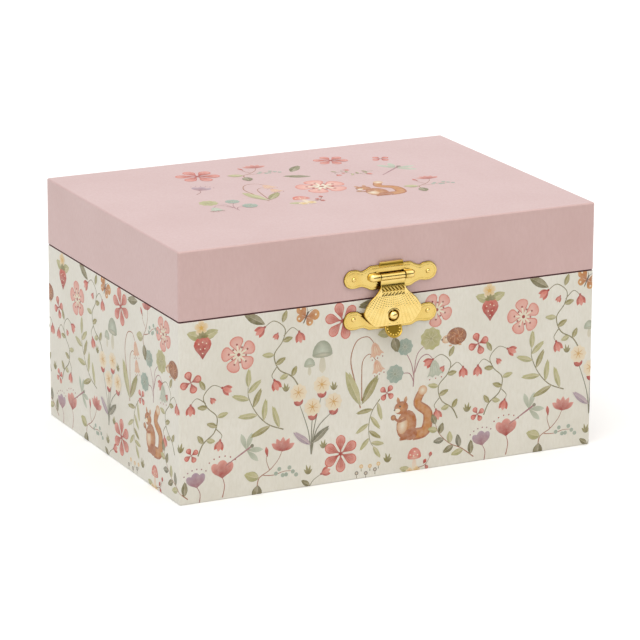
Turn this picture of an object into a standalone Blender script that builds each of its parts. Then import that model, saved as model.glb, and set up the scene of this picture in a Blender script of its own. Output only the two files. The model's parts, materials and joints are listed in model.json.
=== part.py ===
"""Ballerina jewellery box: a wrapped board box with a hinged lid, a brass hasp, a mirror, ring rolls,
and a wind-up musical movement that turns a dancer on a coil spring.

Sizes are in millimetres and become metres where the objects are made. X runs to the right along the
front, Y to the back and Z up. The origin is on the ground, under the middle of the box.
"""
import math

import bmesh
import bpy
from mathutils import Matrix, Vector

MM = 0.001

# Case
WIDTH, DEPTH, HEIGHT = 180.0, 130.0, 100.0
SEAM = 72.5
WALL = 4.0
LID_TOP = 3.0
FIT = 0.3
BOTTOM_LOW, BOTTOM_HIGH = 13.0, 15.7
SOFT_EDGE = 0.5

# Interior
DIVIDER = 3.0
DIVIDER_TOP = 52.0
LONG_DIVIDER_Y = -5.0
SIDE_DIVIDER_X = 44.0
FRONT_DIVIDER_X = 14.0
DECK_LOW, DECK_TOP = 42.5, 45.0
ROLLS = 4
ROLL_TOP = 45.0
PAD_THICK = 2.5
LINING_LOW, MIRROR_LOW = 94.0, 94.8
MIRROR_HALF = (60.0, 42.0)

# Back hinges
HINGE_X = 58.0
HINGE_Y, HINGE_Z = DEPTH / 2 + 1.75, SEAM
HINGE_HALF = 11.0
KNUCKLE_R, KNUCKLE_BORE, HINGE_PIN_R = 1.4, 0.9, 0.6
LEAF_THICK, LEAF_TALL = 0.8, 10.5
LEAF_GAP = 0.15

# Front clasp
CLASP_X = -0.7
PLATE_GAP, PLATE_THICK = 0.15, 0.6
NAIL_HOLE_R = 0.75
CLASP_Z, CATCH_Z = 81.0, 65.1
HASP_PIN_OUT = 1.9
HASP_HALF = 5.15
HASP_BACK, HASP_FRONT = 2.35, 3.0
STUD_Z = 65.6

# Movement
BARREL_X, BARREL_Y = 0.0, 20.0
ARBOR_WAY_R = 2.6
BED_LOW, BED_TOP = 16.0, 18.7
BARREL_R, BARREL_LOW, BARREL_TOP = 11.0, 19.2, 31.2
CROWN_TEETH, CROWN_R = 30, 9.5
PINION_TEETH = 10
CROWN_PITCH_Z = BARREL_TOP + 0.8
PINION_R = CROWN_R * PINION_TEETH / CROWN_TEETH
SHAFT_Z = CROWN_PITCH_Z + PINION_R
CYLINDER_R, CYLINDER_LOW, CYLINDER_HIGH = 6.3, 12.5, 32.5
NOTES = 18
GEAR_TEETH, GOVERNOR_TEETH, WORM_WHEEL_TEETH = 20, 10, 16
MODULE = 0.6
BACKLASH = 0.3
GOVERNOR_DROP = 6.5
WORM_X, WORM_R = 39.2, 1.5
FLY_R = 3.4
ROD_X, ROD_Y, ROD_R = 41.0, 58.0, 0.5

# Dancer, in her own upright frame with the spring's foot at zero
LEAN = math.radians(50.0)
PIVOT = (BARREL_X, BARREL_Y, 47.0)
SPRING_LOW, SPRING_HIGH, SPRING_R, SPRING_WIRE = 3.0, 13.4, 2.2, 0.35
SPRING_TURNS = 7
FOOT_Z = 14.0
TUTU_R, TUTU_Z = 16.0, 35.6


def clear_scene():
    for obj in list(bpy.data.objects):
        bpy.data.objects.remove(obj, do_unlink=True)


def new_collection(name, hidden=False):
    collection = bpy.data.collections.new(name)
    bpy.context.scene.collection.children.link(collection)
    collection.hide_render = hidden
    return collection


clear_scene()
PARTS = new_collection("ballerina_jewellery_box")
CUTTERS = new_collection("cutters", hidden=True)


def material(name, colour, roughness, metallic=0.0):
    made = bpy.data.materials.new(name)
    made.use_nodes = True
    shader = made.node_tree.nodes["Principled BSDF"]
    shader.inputs["Base Color"].default_value = (*colour, 1.0)
    shader.inputs["Roughness"].default_value = roughness
    shader.inputs["Metallic"].default_value = metallic
    return made


PRINTED = material("printed_paper", (0.76, 0.72, 0.64), 0.55)
PINK = material("pink_paper", (0.62, 0.41, 0.39), 0.5)
VELVET = material("velvet", (0.72, 0.45, 0.45), 0.95)
BRASS = material("brass", (0.83, 0.62, 0.2), 0.22, 1.0)
STEEL = material("steel", (0.6, 0.6, 0.6), 0.3, 1.0)
GLASS = material("mirror", (0.85, 0.87, 0.88), 0.03, 1.0)
PORCELAIN = material("painted_figure", (0.86, 0.66, 0.56), 0.35)
TULLE = material("tulle", (0.86, 0.6, 0.62), 0.8)
RIBBON = material("ribbon", (0.8, 0.55, 0.55), 0.5)
NYLON = material("nylon", (0.85, 0.84, 0.8), 0.4)


def new_object(name, data, mat):
    obj = bpy.data.objects.new(name, data)
    PARTS.objects.link(obj)
    data.materials.append(mat)
    return obj


def point(*mm):
    return Vector(mm) * MM


def box(name, low, high, mat, bevel=0.0):
    """A board between two corners."""
    low, high = point(*low), point(*high)
    shape = bmesh.new()
    bmesh.ops.create_cube(shape, size=1.0)
    bmesh.ops.scale(shape, vec=high - low, verts=shape.verts)
    mesh = bpy.data.meshes.new(name)
    shape.to_mesh(mesh)
    shape.free()
    obj = new_object(name, mesh, mat)
    obj.location = (low + high) / 2
    if bevel:
        rounding = obj.modifiers.new("rounding", "BEVEL")
        rounding.width = bevel * MM
        rounding.segments = 1
    return obj


def turned(name, profile, mat, origin, direction=(0, 0, 1), steps=24, ring=False):
    """(radius, height) points turned about an axis; they run down the outer side."""
    count = len(profile)
    edges = [(i, i + 1) for i in range(count - 1)]
    if ring:
        edges.append((count - 1, 0))
    mesh = bpy.data.meshes.new(name)
    mesh.from_pydata([(r * MM, 0, h * MM) for r, h in profile], edges, [])
    obj = new_object(name, mesh, mat)
    obj.location = point(*origin)
    obj.rotation_euler = Vector(direction).to_track_quat("Z", "Y").to_euler()
    screw = obj.modifiers.new("turn", "SCREW")
    screw.steps = screw.render_steps = steps
    screw.use_merge_vertices = True
    screw.merge_threshold = 1e-5
    screw.use_smooth_shade = True
    return obj


def rod(name, start, end, radius, mat, steps=16):
    length = (Vector(end) - Vector(start)).length
    profile = [(0, length), (radius, length), (radius, 0), (0, 0)]
    return turned(name, profile, mat, start, Vector(end) - Vector(start), steps)


def as_mesh(curve_object):
    """The curve's evaluated mesh with its caps welded, in the curve's place."""
    bpy.context.view_layer.update()
    depsgraph = bpy.context.evaluated_depsgraph_get()
    mesh = bpy.data.meshes.new_from_object(curve_object.evaluated_get(depsgraph))
    shape = bmesh.new()
    shape.from_mesh(mesh)
    bmesh.ops.remove_doubles(shape, verts=shape.verts, dist=1e-6)
    flat = math.radians(0.1)
    bmesh.ops.dissolve_limit(shape, angle_limit=flat, verts=shape.verts, edges=shape.edges)
    bmesh.ops.recalc_face_normals(shape, faces=shape.faces)
    shape.to_mesh(mesh)
    shape.free()
    name, place = curve_object.name, curve_object.matrix_world.copy()
    bpy.data.objects.remove(curve_object)
    obj = bpy.data.objects.new(name, mesh)
    obj.matrix_world = place
    PARTS.objects.link(obj)
    return obj


FACING = {
    "up": Matrix.Identity(4),
    "front": Matrix.Rotation(math.pi / 2, 4, "X"),
    "right": Matrix(((0, 0, 1, 0), (1, 0, 0, 0), (0, 1, 0, 0), (0, 0, 0, 1))),
}


def slab(name, outlines, thickness, mat, centre, facing="up"):
    """A flat plate: the first outline is its rim, any others are holes. Facing front, the outline is
    in X and Z; facing right, in Y and Z."""
    curve = bpy.data.curves.new(name, "CURVE")
    curve.dimensions = "2D"
    curve.fill_mode = "BOTH"
    curve.extrude = thickness / 2 * MM
    for outline in outlines:
        spline = curve.splines.new("POLY")
        spline.points.add(len(outline) - 1)
        for target, (u, v) in zip(spline.points, outline):
            target.co = (u * MM, v * MM, 0, 1)
        spline.use_cyclic_u = True
    obj = new_object(name, curve, mat)
    obj.matrix_world = Matrix.Translation(point(*centre)) @ FACING[facing]
    return as_mesh(obj)


def wire(name, path, radius, mat, smooth=1, radii=None):
    """A round wire through points."""
    curve = bpy.data.curves.new(name, "CURVE")
    curve.dimensions = "3D"
    curve.bevel_depth = radius * MM
    curve.bevel_resolution = smooth
    curve.use_fill_caps = True
    spline = curve.splines.new("POLY")
    spline.points.add(len(path) - 1)
    for i, place in enumerate(path):
        spline.points[i].co = (*(Vector(place) * MM), 1)
        spline.points[i].radius = radii[i] if radii else 1.0
    return as_mesh(new_object(name, curve, mat))


def boolean(obj, operation, tools):
    for tool in tools:
        step = obj.modifiers.new(operation.lower(), "BOOLEAN")
        step.operation = operation
        step.solver = "EXACT"
        step.object = tool
        PARTS.objects.unlink(tool)
        CUTTERS.objects.link(tool)
        tool.hide_render = True
        tool.display_type = "WIRE"


def union(obj, *tools):
    boolean(obj, "UNION", tools)
    return obj


def cut(obj, *tools):
    boolean(obj, "DIFFERENCE", tools)
    return obj


def upright_hole(name, x, y, low, radius, steps=16):
    """A cutter that passes through a plate a few millimetres thick whose underside is near this height."""
    return rod(name, (x, y, low - 3), (x, y, low + 5), radius, STEEL, steps)


def pivot(name, place, tilt=0.0):
    """An empty on a joint's axis that its moving pieces are parented to."""
    empty = bpy.data.objects.new(name, None)
    empty.location = point(*place)
    empty.rotation_euler = (tilt, 0, 0)
    empty.empty_display_size = 5 * MM
    PARTS.objects.link(empty)
    return empty


def hang(empty, *pieces):
    """Parents pieces that are already in place."""
    bpy.context.view_layer.update()
    for piece in pieces:
        piece.parent = empty
        piece.matrix_parent_inverse = empty.matrix_world.inverted()


def arc(centre, radius, start, end, count):
    """Points on a circle, from one angle in degrees to another."""
    steps = [math.radians(start + (end - start) * i / (count - 1)) for i in range(count)]
    return [(centre[0] + radius * math.cos(a), centre[1] + radius * math.sin(a)) for a in steps]


def circle(centre, radius, count=16):
    return arc(centre, radius, 0, 360 - 360 / count, count)


def rectangle(low, high):
    return [(low[0], low[1]), (high[0], low[1]), (high[0], high[1]), (low[0], high[1])]


def mirrored(half):
    """A closed outline from its right half."""
    return half + [(-x, y) for x, y in reversed(half)]


# ---------------------------------------------------------------- case

def base_boards():
    top = SEAM - FIT / 2
    x, y = WIDTH / 2, DEPTH / 2
    inner_x, inner_y = x - WALL - FIT, y - WALL - FIT
    box("front_board", (-x, -y, 0), (x, WALL - y, top), PRINTED, SOFT_EDGE)
    box("back_board", (-x, y - WALL, 0), (x, y, top), PRINTED, SOFT_EDGE)
    box("left_board", (-x, -inner_y, 0), (WALL - x, inner_y, top), PRINTED, SOFT_EDGE)
    box("right_board", (x - WALL, -inner_y, 0), (x, inner_y, top), PRINTED, SOFT_EDGE)
    low, high = (-inner_x, -inner_y, BOTTOM_LOW), (inner_x, inner_y, BOTTOM_HIGH)
    bottom = box("bottom_board", low, high, PRINTED)
    holes = [upright_hole("arbor_way", BARREL_X, BARREL_Y, BOTTOM_LOW, ARBOR_WAY_R, 16)]
    for i, (x, y) in enumerate(MOVEMENT_SCREWS):
        holes.append(upright_hole(f"screw_way_{i}", x, y, BOTTOM_LOW, 1.5, 12))
    cut(bottom, *holes)


def dividers():
    low = BOTTOM_HIGH + FIT
    edge_x, edge_y = WIDTH / 2 - WALL - FIT, DEPTH / 2 - WALL - FIT
    back = LONG_DIVIDER_Y + DIVIDER
    box("long_divider", (-edge_x, LONG_DIVIDER_Y, low), (edge_x, back, DIVIDER_TOP), VELVET)
    back_low = back + FIT
    for side, name in ((-1, "left_divider"), (1, "right_divider")):
        xs = sorted((side * SIDE_DIVIDER_X, side * (SIDE_DIVIDER_X + DIVIDER)))
        box(name, (xs[0], back_low, low), (xs[1], edge_y, DIVIDER_TOP), VELVET)
    high = (FRONT_DIVIDER_X + DIVIDER, LONG_DIVIDER_Y - FIT, DIVIDER_TOP)
    box("front_divider", (FRONT_DIVIDER_X, -edge_y, low), high, VELVET)


def linings():
    low = BOTTOM_HIGH + FIT
    edge_x, edge_y = WIDTH / 2 - WALL - 2 * FIT, DEPTH / 2 - WALL - 2 * FIT
    side_x = SIDE_DIVIDER_X + DIVIDER + FIT
    back_y, front_y = LONG_DIVIDER_Y + DIVIDER + FIT, LONG_DIVIDER_Y - FIT
    box("left_pad", (-edge_x, back_y, low), (-side_x, edge_y, low + PAD_THICK), VELVET)
    box("right_pad", (side_x, back_y, low), (edge_x, edge_y, low + PAD_THICK), VELVET)
    front_x = FRONT_DIVIDER_X + DIVIDER + FIT
    box("front_pad", (front_x, -edge_y, low), (edge_x, front_y, low + PAD_THICK), VELVET)
    ring_cushion(low, -edge_x, FRONT_DIVIDER_X - FIT, -edge_y, front_y)


def ring_cushion(low, left, right, front, back):
    """A foam block whose top is a row of rolls with slits between them for rings."""
    pitch = (back - front) / ROLLS
    slit_half, slit_depth = 0.4, 4
    radius = pitch / 2 - slit_half
    top = []
    for i in range(ROLLS):
        middle = back - pitch * (i + 0.5)
        top += arc((middle, ROLL_TOP - radius), radius, 0, 180, 9)
        if i < ROLLS - 1:
            slit, foot = middle - pitch / 2, ROLL_TOP - radius - slit_depth
            top += [(slit + slit_half, foot), (slit - slit_half, foot)]
    outline = [(front, low), (back, low)] + top
    centre = ((left + right) / 2, 0, 0)
    slab("ring_cushion", [outline], right - left, VELVET, centre, "right")


def movement_deck():
    edge_x = SIDE_DIVIDER_X - FIT
    low_y, high_y = LONG_DIVIDER_Y + DIVIDER + FIT, DEPTH / 2 - WALL - 2 * FIT
    rim = rectangle((-edge_x, low_y), (edge_x, high_y))
    stem_hole, rod_hole = circle((BARREL_X, BARREL_Y), 2.4), circle((ROD_X, ROD_Y), 1.1, 12)
    thickness = DECK_TOP - DECK_LOW
    centre = (0, 0, (DECK_LOW + DECK_TOP) / 2)
    slab("movement_deck", [rim, stem_hole, rod_hole], thickness, VELVET, centre)


def stay_ribbon():
    """The folded ribbon that stops the lid, as the space it fills beside the left wall."""
    inner = -(WIDTH / 2 - WALL)
    box("stay_ribbon", (inner + 0.4, 12, 60), (inner + 1.4, 30, 68), RIBBON)


# ---------------------------------------------------------------- lid

def lid_boards(lid):
    low, high = SEAM + FIT / 2, HEIGHT - LID_TOP - FIT
    x, y = WIDTH / 2, DEPTH / 2
    inner_y = y - WALL - FIT
    pieces = [
        box("lid_top_board", (-x, -y, HEIGHT - LID_TOP), (x, y, HEIGHT), PINK, SOFT_EDGE),
        box("lid_front_rail", (-x, -y, low), (x, WALL - y, high), PINK, SOFT_EDGE),
        box("lid_back_rail", (-x, y - WALL, low), (x, y, high), PINK, SOFT_EDGE),
        box("lid_left_rail", (-x, -inner_y, low), (WALL - x, inner_y, high), PINK, SOFT_EDGE),
        box("lid_right_rail", (x - WALL, -inner_y, low), (x, inner_y, high), PINK, SOFT_EDGE),
    ]
    edge_x, edge_y = x - WALL - FIT, inner_y
    half_x, half_y = MIRROR_HALF
    lining = slab(
        "lid_lining",
        [rectangle((-edge_x, -edge_y), (edge_x, edge_y)), rectangle((-half_x, -half_y), (half_x, half_y))],
        high - LINING_LOW, VELVET, (0, 0, (high + LINING_LOW) / 2))
    half_x, half_y = half_x - FIT, half_y - FIT
    mirror = box("mirror", (-half_x, -half_y, MIRROR_LOW), (half_x, half_y, high), GLASS)
    hang(lid, *pieces, lining, mirror)


def hinge(side, lid):
    """A butt hinge on the back: two knuckles on the base leaf and one between them on the lid leaf."""
    word = "left" if side < 0 else "right"
    middle = side * HINGE_X
    leaf_near = DEPTH / 2 + LEAF_GAP
    leaf_far = leaf_near + LEAF_THICK
    leaf_y = (leaf_near + leaf_far) / 2
    reach = KNUCKLE_R + 0.4
    split, lap, inset = 4.0, 0.5, 0.1
    centre = (middle, leaf_y, HINGE_Z)

    def along(low, high):
        """The ends of a length of the hinge's axis, measured from the hinge's middle."""
        return (middle + low, HINGE_Y, HINGE_Z), (middle + high, HINGE_Y, HINGE_Z)

    shoulders = mirrored([(HINGE_HALF, -LEAF_TALL), (HINGE_HALF, lap), (split, lap), (split, -reach)])
    base = slab(f"hinge_{word}_base_leaf", [shoulders], LEAF_THICK, BRASS, centre, "front")
    for i, (low, high) in enumerate(((-HINGE_HALF, -split), (split, HINGE_HALF))):
        ends = along(low + inset, high - inset)
        union(base, rod(f"{word}_knuckle_{i}", *ends, KNUCKLE_R, BRASS, 14))
    lid_half = split - FIT
    ear = [(HINGE_HALF, reach + 0.3), (HINGE_HALF, LEAF_TALL)]
    tongue = mirrored([(lid_half, -lap), (lid_half, reach)] + ear)
    leaf = slab(f"hinge_{word}_lid_leaf", [tongue], LEAF_THICK, BRASS, centre, "front")
    ends = along(inset - lid_half, lid_half - inset)
    union(leaf, rod(f"{word}_middle_knuckle", *ends, KNUCKLE_R, BRASS, 14))
    over = HINGE_HALF + 1
    for target, label in ((base, "base"), (leaf, "lid")):
        cut(target, rod(f"{word}_{label}_bore", *along(-over, over), KNUCKLE_BORE, BRASS, 14))
    head_r, head, length = 1.0, 0.6, 2 * over
    profile = [(0, length + 0.4), (head_r, length), (head_r, length - head), (HINGE_PIN_R, length - head),
               (HINGE_PIN_R, head), (head_r, head), (head_r, 0), (0, -0.4)]
    turned(f"hinge_{word}_pin", profile, STEEL, along(-over, over)[0], (1, 0, 0), 10)
    hang(lid, leaf)


# ---------------------------------------------------------------- clasp

def out(distance):
    """A Y that far in front of the case's front face."""
    return -DEPTH / 2 - distance


def lobed_outline(top, bottom, top_half, bottom_half, neck, lobe_x, lobe_r):
    """A plate with a broad middle and a round lobe at each end, centred on the lobes' height."""
    half = [(top_half, top), (neck - 2, top - 1.3), (neck, lobe_r * 0.64)]
    half += arc((lobe_x, 0), lobe_r, 140, -140, 11)
    half += [(neck, -lobe_r * 0.64), (bottom_half, bottom)]
    return mirrored(half)


def front_plate(name, outline, holes, height):
    y = out(PLATE_GAP + PLATE_THICK / 2)
    return slab(name, [outline, *holes], PLATE_THICK, BRASS, (CLASP_X, y, height), "front")


def plate_nail(name, x, height):
    """A domed brass nail through a plate's lobe."""
    profile = [(0, 1.55), (0.6, 1.42), (1.0, 0.95), (1.0, 0.85), (0.45, 0.85), (0.45, 0.1), (0, 0.1)]
    return turned(name, profile, BRASS, (CLASP_X + x, out(0), height), (0, -1, 0), 12)


def clasp_plate(lid):
    """The lid's plate: a window for the hasp's knuckle, a half-round housing on each side for its pin,
    and a small folded tab above."""
    nail = 16.0
    outline = lobed_outline(4.7, -4.7, 8.6, 9.2, 12.7, nail, 3.75)
    window = rectangle((-5.5, -2.1), (5.5, 1.4))
    holes = [window, circle((-nail, 0), NAIL_HOLE_R, 12), circle((nail, 0), NAIL_HOLE_R, 12)]
    plate = front_plate("clasp_plate", outline, holes, CLASP_Z)
    axis_y = out(HASP_PIN_OUT)
    for side in (-1, 1):
        profile = [(0, 4.9), (0.9, 4.7), (1.45, 4.1), (1.6, 3.4), (1.6, 0), (0, 0)]
        start = (CLASP_X + side * (HASP_HALF + 0.2), axis_y, CLASP_Z)
        union(plate, turned(f"housing_{side}", profile, BRASS, start, (side, 0, 0), 14))
    tab_half, tab_back, tab_front = 4.8, PLATE_GAP + 0.1, 1.5
    low = (CLASP_X - tab_half, out(tab_front), CLASP_Z + 4.2)
    high = (CLASP_X + tab_half, out(tab_back), CLASP_Z + 6.5)
    union(plate, box("tab", low, high, BRASS))
    pin_half = 9.3
    cut(plate, rod("pin_way", *along_hasp_axis(pin_half), 0.85, BRASS, 12))
    pin = rod("hasp_pin", *along_hasp_axis(pin_half - FIT), 0.55, BRASS, 12)
    nails = [plate_nail("clasp_nail_left", -nail, CLASP_Z), plate_nail("clasp_nail_right", nail, CLASP_Z)]
    hang(lid, plate, pin, *nails)


def along_hasp_axis(half):
    """The ends of a length of the hasp's axis, centred on the clasp."""
    y = out(HASP_PIN_OUT)
    return (CLASP_X - half, y, CLASP_Z), (CLASP_X + half, y, CLASP_Z)


def hasp_outline():
    """Half widths down from the pin: a straight neck, then a fan, then in again to a flat lower edge."""
    neck = [(HASP_HALF, 0.2), (HASP_HALF, -4.0)]
    fan = [(7.0, -6.7), (10.2, -9.3), (12.0, -12.2), (12.4, -13.7)]
    foot = [(12.1, -14.8), (10.2, -17.3), (8.0, -19.35)]
    return mirrored(neck + fan + foot)


def hasp(lid_pivot):
    hinge_point = pivot("hasp_pivot", (CLASP_X, out(HASP_PIN_OUT), CLASP_Z))
    hang(lid_pivot, hinge_point)
    centre = (CLASP_X, out((HASP_BACK + HASP_FRONT) / 2), CLASP_Z)
    hole = circle((0, STUD_Z - CLASP_Z), 2.45, 18)
    plate = slab("hasp", [hasp_outline(), hole], HASP_FRONT - HASP_BACK, BRASS, centre, "front")
    union(plate, rod("hasp_knuckle", *along_hasp_axis(HASP_HALF), 1.3, BRASS, 20))
    tilt = math.radians(25)
    facing = (0, -math.cos(tilt), math.sin(tilt))
    centre = (CLASP_X, out(3.3), CLASP_Z - 20.75)
    tab = [(0, 0.45), (3.4, 0.45), (3.6, 0.25), (3.6, -0.25), (3.4, -0.45), (0, -0.45)]
    union(plate, turned("lift_tab", tab, BRASS, centre, facing, 24))
    cut(plate, rod("hasp_bore", *along_hasp_axis(HASP_HALF + 1), 0.8, BRASS))
    hang(hinge_point, plate)


def catch():
    """The base's plate with its nails and the domed stud that the hasp closes over."""
    nail = 16.1
    outline = lobed_outline(3.9, -4.6, 8.5, 10.8, 12.4, nail, 3.5)
    holes = [circle((-nail, 0), NAIL_HOLE_R, 12), circle((nail, 0), NAIL_HOLE_R, 12)]
    front_plate("catch_plate", outline, holes, CATCH_Z)
    dome = [(0, 4.7), (0.9, 4.55), (1.45, 4.15), (1.8, 3.5)]
    shank = [(1.65, 3.15), (1.1, 2.95), (1.1, 0.9), (0, 0.9)]
    turned("catch_stud", dome + shank, BRASS, (CLASP_X, out(0), STUD_Z), (0, -1, 0), 16)
    plate_nail("catch_nail_left", -nail, CATCH_Z)
    plate_nail("catch_nail_right", nail, CATCH_Z)


# ---------------------------------------------------------------- musical movement

MOVEMENT_SCREWS = ((-11.0, 5.0), (25.0, 31.0))
COMB_SCREWS = (17.0, 28.0)
COMB_SCREW_Y = 4.6
COMB_LOW, COMB_HIGH = 34.0, 34.9
GOVERNOR_DISTANCE = MODULE * (GEAR_TEETH + GOVERNOR_TEETH) / 2
GOVERNOR_Y = BARREL_Y - math.sqrt(GOVERNOR_DISTANCE ** 2 - GOVERNOR_DROP ** 2)
GOVERNOR_Z = SHAFT_Z - GOVERNOR_DROP
WORM_WHEEL_R = MODULE * WORM_WHEEL_TEETH / 2
WORM_Y = GOVERNOR_Y - WORM_WHEEL_R - WORM_R


def involute(angle):
    return math.tan(angle) - angle


def gear_outline(teeth, pitch_r, phase=0.0, addendum=0.5, dedendum=0.75):
    """Involute teeth with backlash; one tooth is centred on the phase angle, in radians."""
    pressure = math.radians(20)
    base_r = pitch_r * math.cos(pressure)
    tip_r, root_r = pitch_r + addendum, pitch_r - dedendum
    half_at_pitch = math.pi / (2 * teeth) - BACKLASH / (2 * pitch_r)

    def half_angle(radius):
        here = math.acos(min(1.0, base_r / radius))
        return half_at_pitch + involute(pressure) - involute(here)

    radii = [root_r, max(base_r, root_r + 0.05), tip_r]
    outline = []
    for tooth in range(teeth):
        middle = phase + 2 * math.pi * tooth / teeth
        flank = [(r, half_angle(max(r, base_r))) for r in radii]
        turns = [(r, middle - h) for r, h in flank] + [(r, middle + h) for r, h in reversed(flank)]
        outline += [(r * math.cos(a), r * math.sin(a)) for r, a in turns]
    return outline


def bedplate():
    """The cast bed with the comb's riser and the cylinder's right-hand bearing post."""
    bed = box("movement_bedplate", (-15, 0.5, BED_LOW), (43, 35, BED_TOP), STEEL)
    union(bed, box("comb_riser", (12.4, 1, BED_LOW + 1), (32.6, 8.2, COMB_LOW - FIT), STEEL))
    union(bed, box("bearing_post", (33.4, 10.0, BED_LOW + 1), (35.0, 24.0, SHAFT_Z + 3), STEEL))
    ways = [
        upright_hole("arbor_hole", BARREL_X, BARREL_Y, BED_LOW, 1.9),
        rod("shaft_hole", (30, BARREL_Y, SHAFT_Z), (38, BARREL_Y, SHAFT_Z), 1.0, STEEL),
        rod("governor_hole", (30, GOVERNOR_Y, GOVERNOR_Z), (38, GOVERNOR_Y, GOVERNOR_Z), 0.8, STEEL),
        upright_hole("fly_hole", WORM_X, WORM_Y, BED_LOW, 0.8),
    ]
    for i, (x, y) in enumerate(MOVEMENT_SCREWS):
        ways.append(upright_hole(f"bed_screw_{i}", x, y, BED_LOW, 1.4, 12))
    for i, x in enumerate(COMB_SCREWS):
        ways.append(upright_hole(f"riser_hole_{i}", x, COMB_SCREW_Y, COMB_LOW - 3, 1.4, 12))
    cut(bed, *ways)


def barrel_bridge():
    """A bent strap over the barrel that carries the turning stem and the cylinder's left end."""
    arm_low, arm_high = 36.9, 38.4
    bridge = slab(
        "barrel_bridge",
        [rectangle((-3.5, 16.5), (7.2, 34.5)), circle((BARREL_X, BARREL_Y), 2.0)],
        arm_high - arm_low, STEEL, (0, 0, (arm_low + arm_high) / 2))
    union(bridge, box("strap", (-1.0, 33.0, BED_TOP + FIT), (7.1, 34.4, arm_high - 0.5), STEEL))
    union(bridge, box("strap_foot", (-1.2, 31.6, BED_TOP + FIT), (7.0, 34.3, BED_TOP + 1.5), STEEL))
    union(bridge, box("strap_tab", (5.4, 17.0, 33.3), (7.1, 23.0, arm_low + 0.5), STEEL))
    cut(bridge, rod("left_bearing", (3, BARREL_Y, SHAFT_Z), (9, BARREL_Y, SHAFT_Z), 1.0, STEEL))


def spring_barrel():
    """A cup, open below, with a crown of teeth round its top and a boss that grips the stem."""
    wall, roof = 0.8, 1.0
    profile = [(1.9, 33.6), (3.0, 33.6), (3.0, BARREL_TOP), (BARREL_R, BARREL_TOP), (BARREL_R, BARREL_LOW),
               (BARREL_R - wall, BARREL_LOW), (BARREL_R - wall, BARREL_TOP - roof), (1.9, BARREL_TOP - roof)]
    cup = turned("spring_barrel", profile, BRASS, (BARREL_X, BARREL_Y, 0), steps=32, ring=True)
    union(cup, crown_teeth())


def crown_teeth():
    """Rack-like teeth standing on the barrel's rim, a gap of the crown facing the pinion's tooth."""
    low, high = BARREL_TOP - 0.4, CROWN_PITCH_Z + 0.55
    pitch_half = 0.5 * (math.pi * CROWN_R / CROWN_TEETH - BACKLASH)
    slope = math.tan(math.radians(20))
    shape = bmesh.new()
    for tooth in range(CROWN_TEETH):
        made = bmesh.ops.create_cube(shape, size=1.0)["verts"]
        for vert in made:
            z = high if vert.co.z > 0 else low
            half = pitch_half - (z - CROWN_PITCH_Z) * slope
            vert.co = Vector((CROWN_R + vert.co.x * 1.8, 2 * vert.co.y * half, z))
        turn = Matrix.Rotation(2 * math.pi * (tooth + 0.5) / CROWN_TEETH, 4, "Z")
        bmesh.ops.transform(shape, matrix=turn, verts=made)
    bmesh.ops.scale(shape, vec=(MM, MM, MM), verts=shape.verts)
    bmesh.ops.translate(shape, vec=point(BARREL_X, BARREL_Y, 0), verts=shape.verts)
    mesh = bpy.data.meshes.new("crown_teeth")
    shape.to_mesh(mesh)
    shape.free()
    return new_object("crown_teeth", mesh, BRASS)


def mainspring():
    """A flat spiral strip between the arbor and the barrel's wall."""
    inner, outer, turns, thick = 2.4, 9.4, 4.5, 0.4
    count = 46
    faces = []
    for side in (0.5, -0.5):
        line = []
        for i in range(count):
            share = i / (count - 1)
            r = inner + (outer - inner) * share + side * thick
            a = 2 * math.pi * turns * share
            line.append((r * math.cos(a), r * math.sin(a)))
        faces.append(line)
    low, high = 20.4, 29.6
    outline = faces[0] + faces[1][::-1]
    slab("mainspring", [outline], high - low, STEEL, (BARREL_X, BARREL_Y, (low + high) / 2))


def turntable():
    """A disc on the deck whose stem goes down through the deck and the bridge into the barrel's boss."""
    profile = [(0, 1.7), (3.4, 1.7), (3.4, 1.0), (6.2, 1.0), (6.5, 0.6), (6.5, FIT), (1.6, FIT),
               (1.6, 31.5 - DECK_TOP), (0, 31.5 - DECK_TOP)]
    turned("turntable", profile, NYLON, (BARREL_X, BARREL_Y, DECK_TOP), steps=20)


def winding_gear():
    rod("winding_arbor", (BARREL_X, BARREL_Y, 6.0), (BARREL_X, BARREL_Y, 29.9), 1.5, STEEL)
    hub = rod("winding_key", (BARREL_X, BARREL_Y, 3.6), (BARREL_X, BARREL_Y, 12.6), 2.9, STEEL, 20)
    wing = [(2, 3.1), (5, 2.9)] + arc((8.5, 5.6), 3.9, -90, 90, 9) + [(5, 9.0), (2, 9.2)]
    union(hub, slab("key_wings", [mirrored(wing)], 1.4, STEEL, (BARREL_X, BARREL_Y, 0), "front"))
    cut(hub, rod("key_bore", (BARREL_X, BARREL_Y, 5.7), (BARREL_X, BARREL_Y, 14), 1.8, STEEL))


def cylinder_group():
    """The pinned cylinder, the shaft with its pinion, and the gear that drives the governor."""
    axis = (1, 0, 0)
    shaft = rod("cylinder_shaft", (5.0, BARREL_Y, SHAFT_Z), (38.2, BARREL_Y, SHAFT_Z), 0.8, STEEL)
    pinion = gear_outline(PINION_TEETH, PINION_R, phase=-math.pi / 2)
    union(shaft, slab("pinion", [pinion], 1.2, STEEL, (9.5, BARREL_Y, SHAFT_Z), "right"))
    length = CYLINDER_HIGH - CYLINDER_LOW
    profile = [(1.05, length), (CYLINDER_R, length), (CYLINDER_R, 0), (1.05, 0)]
    drum = turned("pinned_cylinder", profile, BRASS, (CYLINDER_LOW, BARREL_Y, SHAFT_Z), axis, 32, ring=True)
    union(drum, cylinder_pins(length))
    gear = gear_outline(GEAR_TEETH, MODULE * GEAR_TEETH / 2, phase=mesh_phase())
    bore = circle((0, 0), 1.0, 12)
    slab("cylinder_gear", [gear, bore], 1.2, BRASS, (36.4, BARREL_Y, SHAFT_Z), "right")


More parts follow.
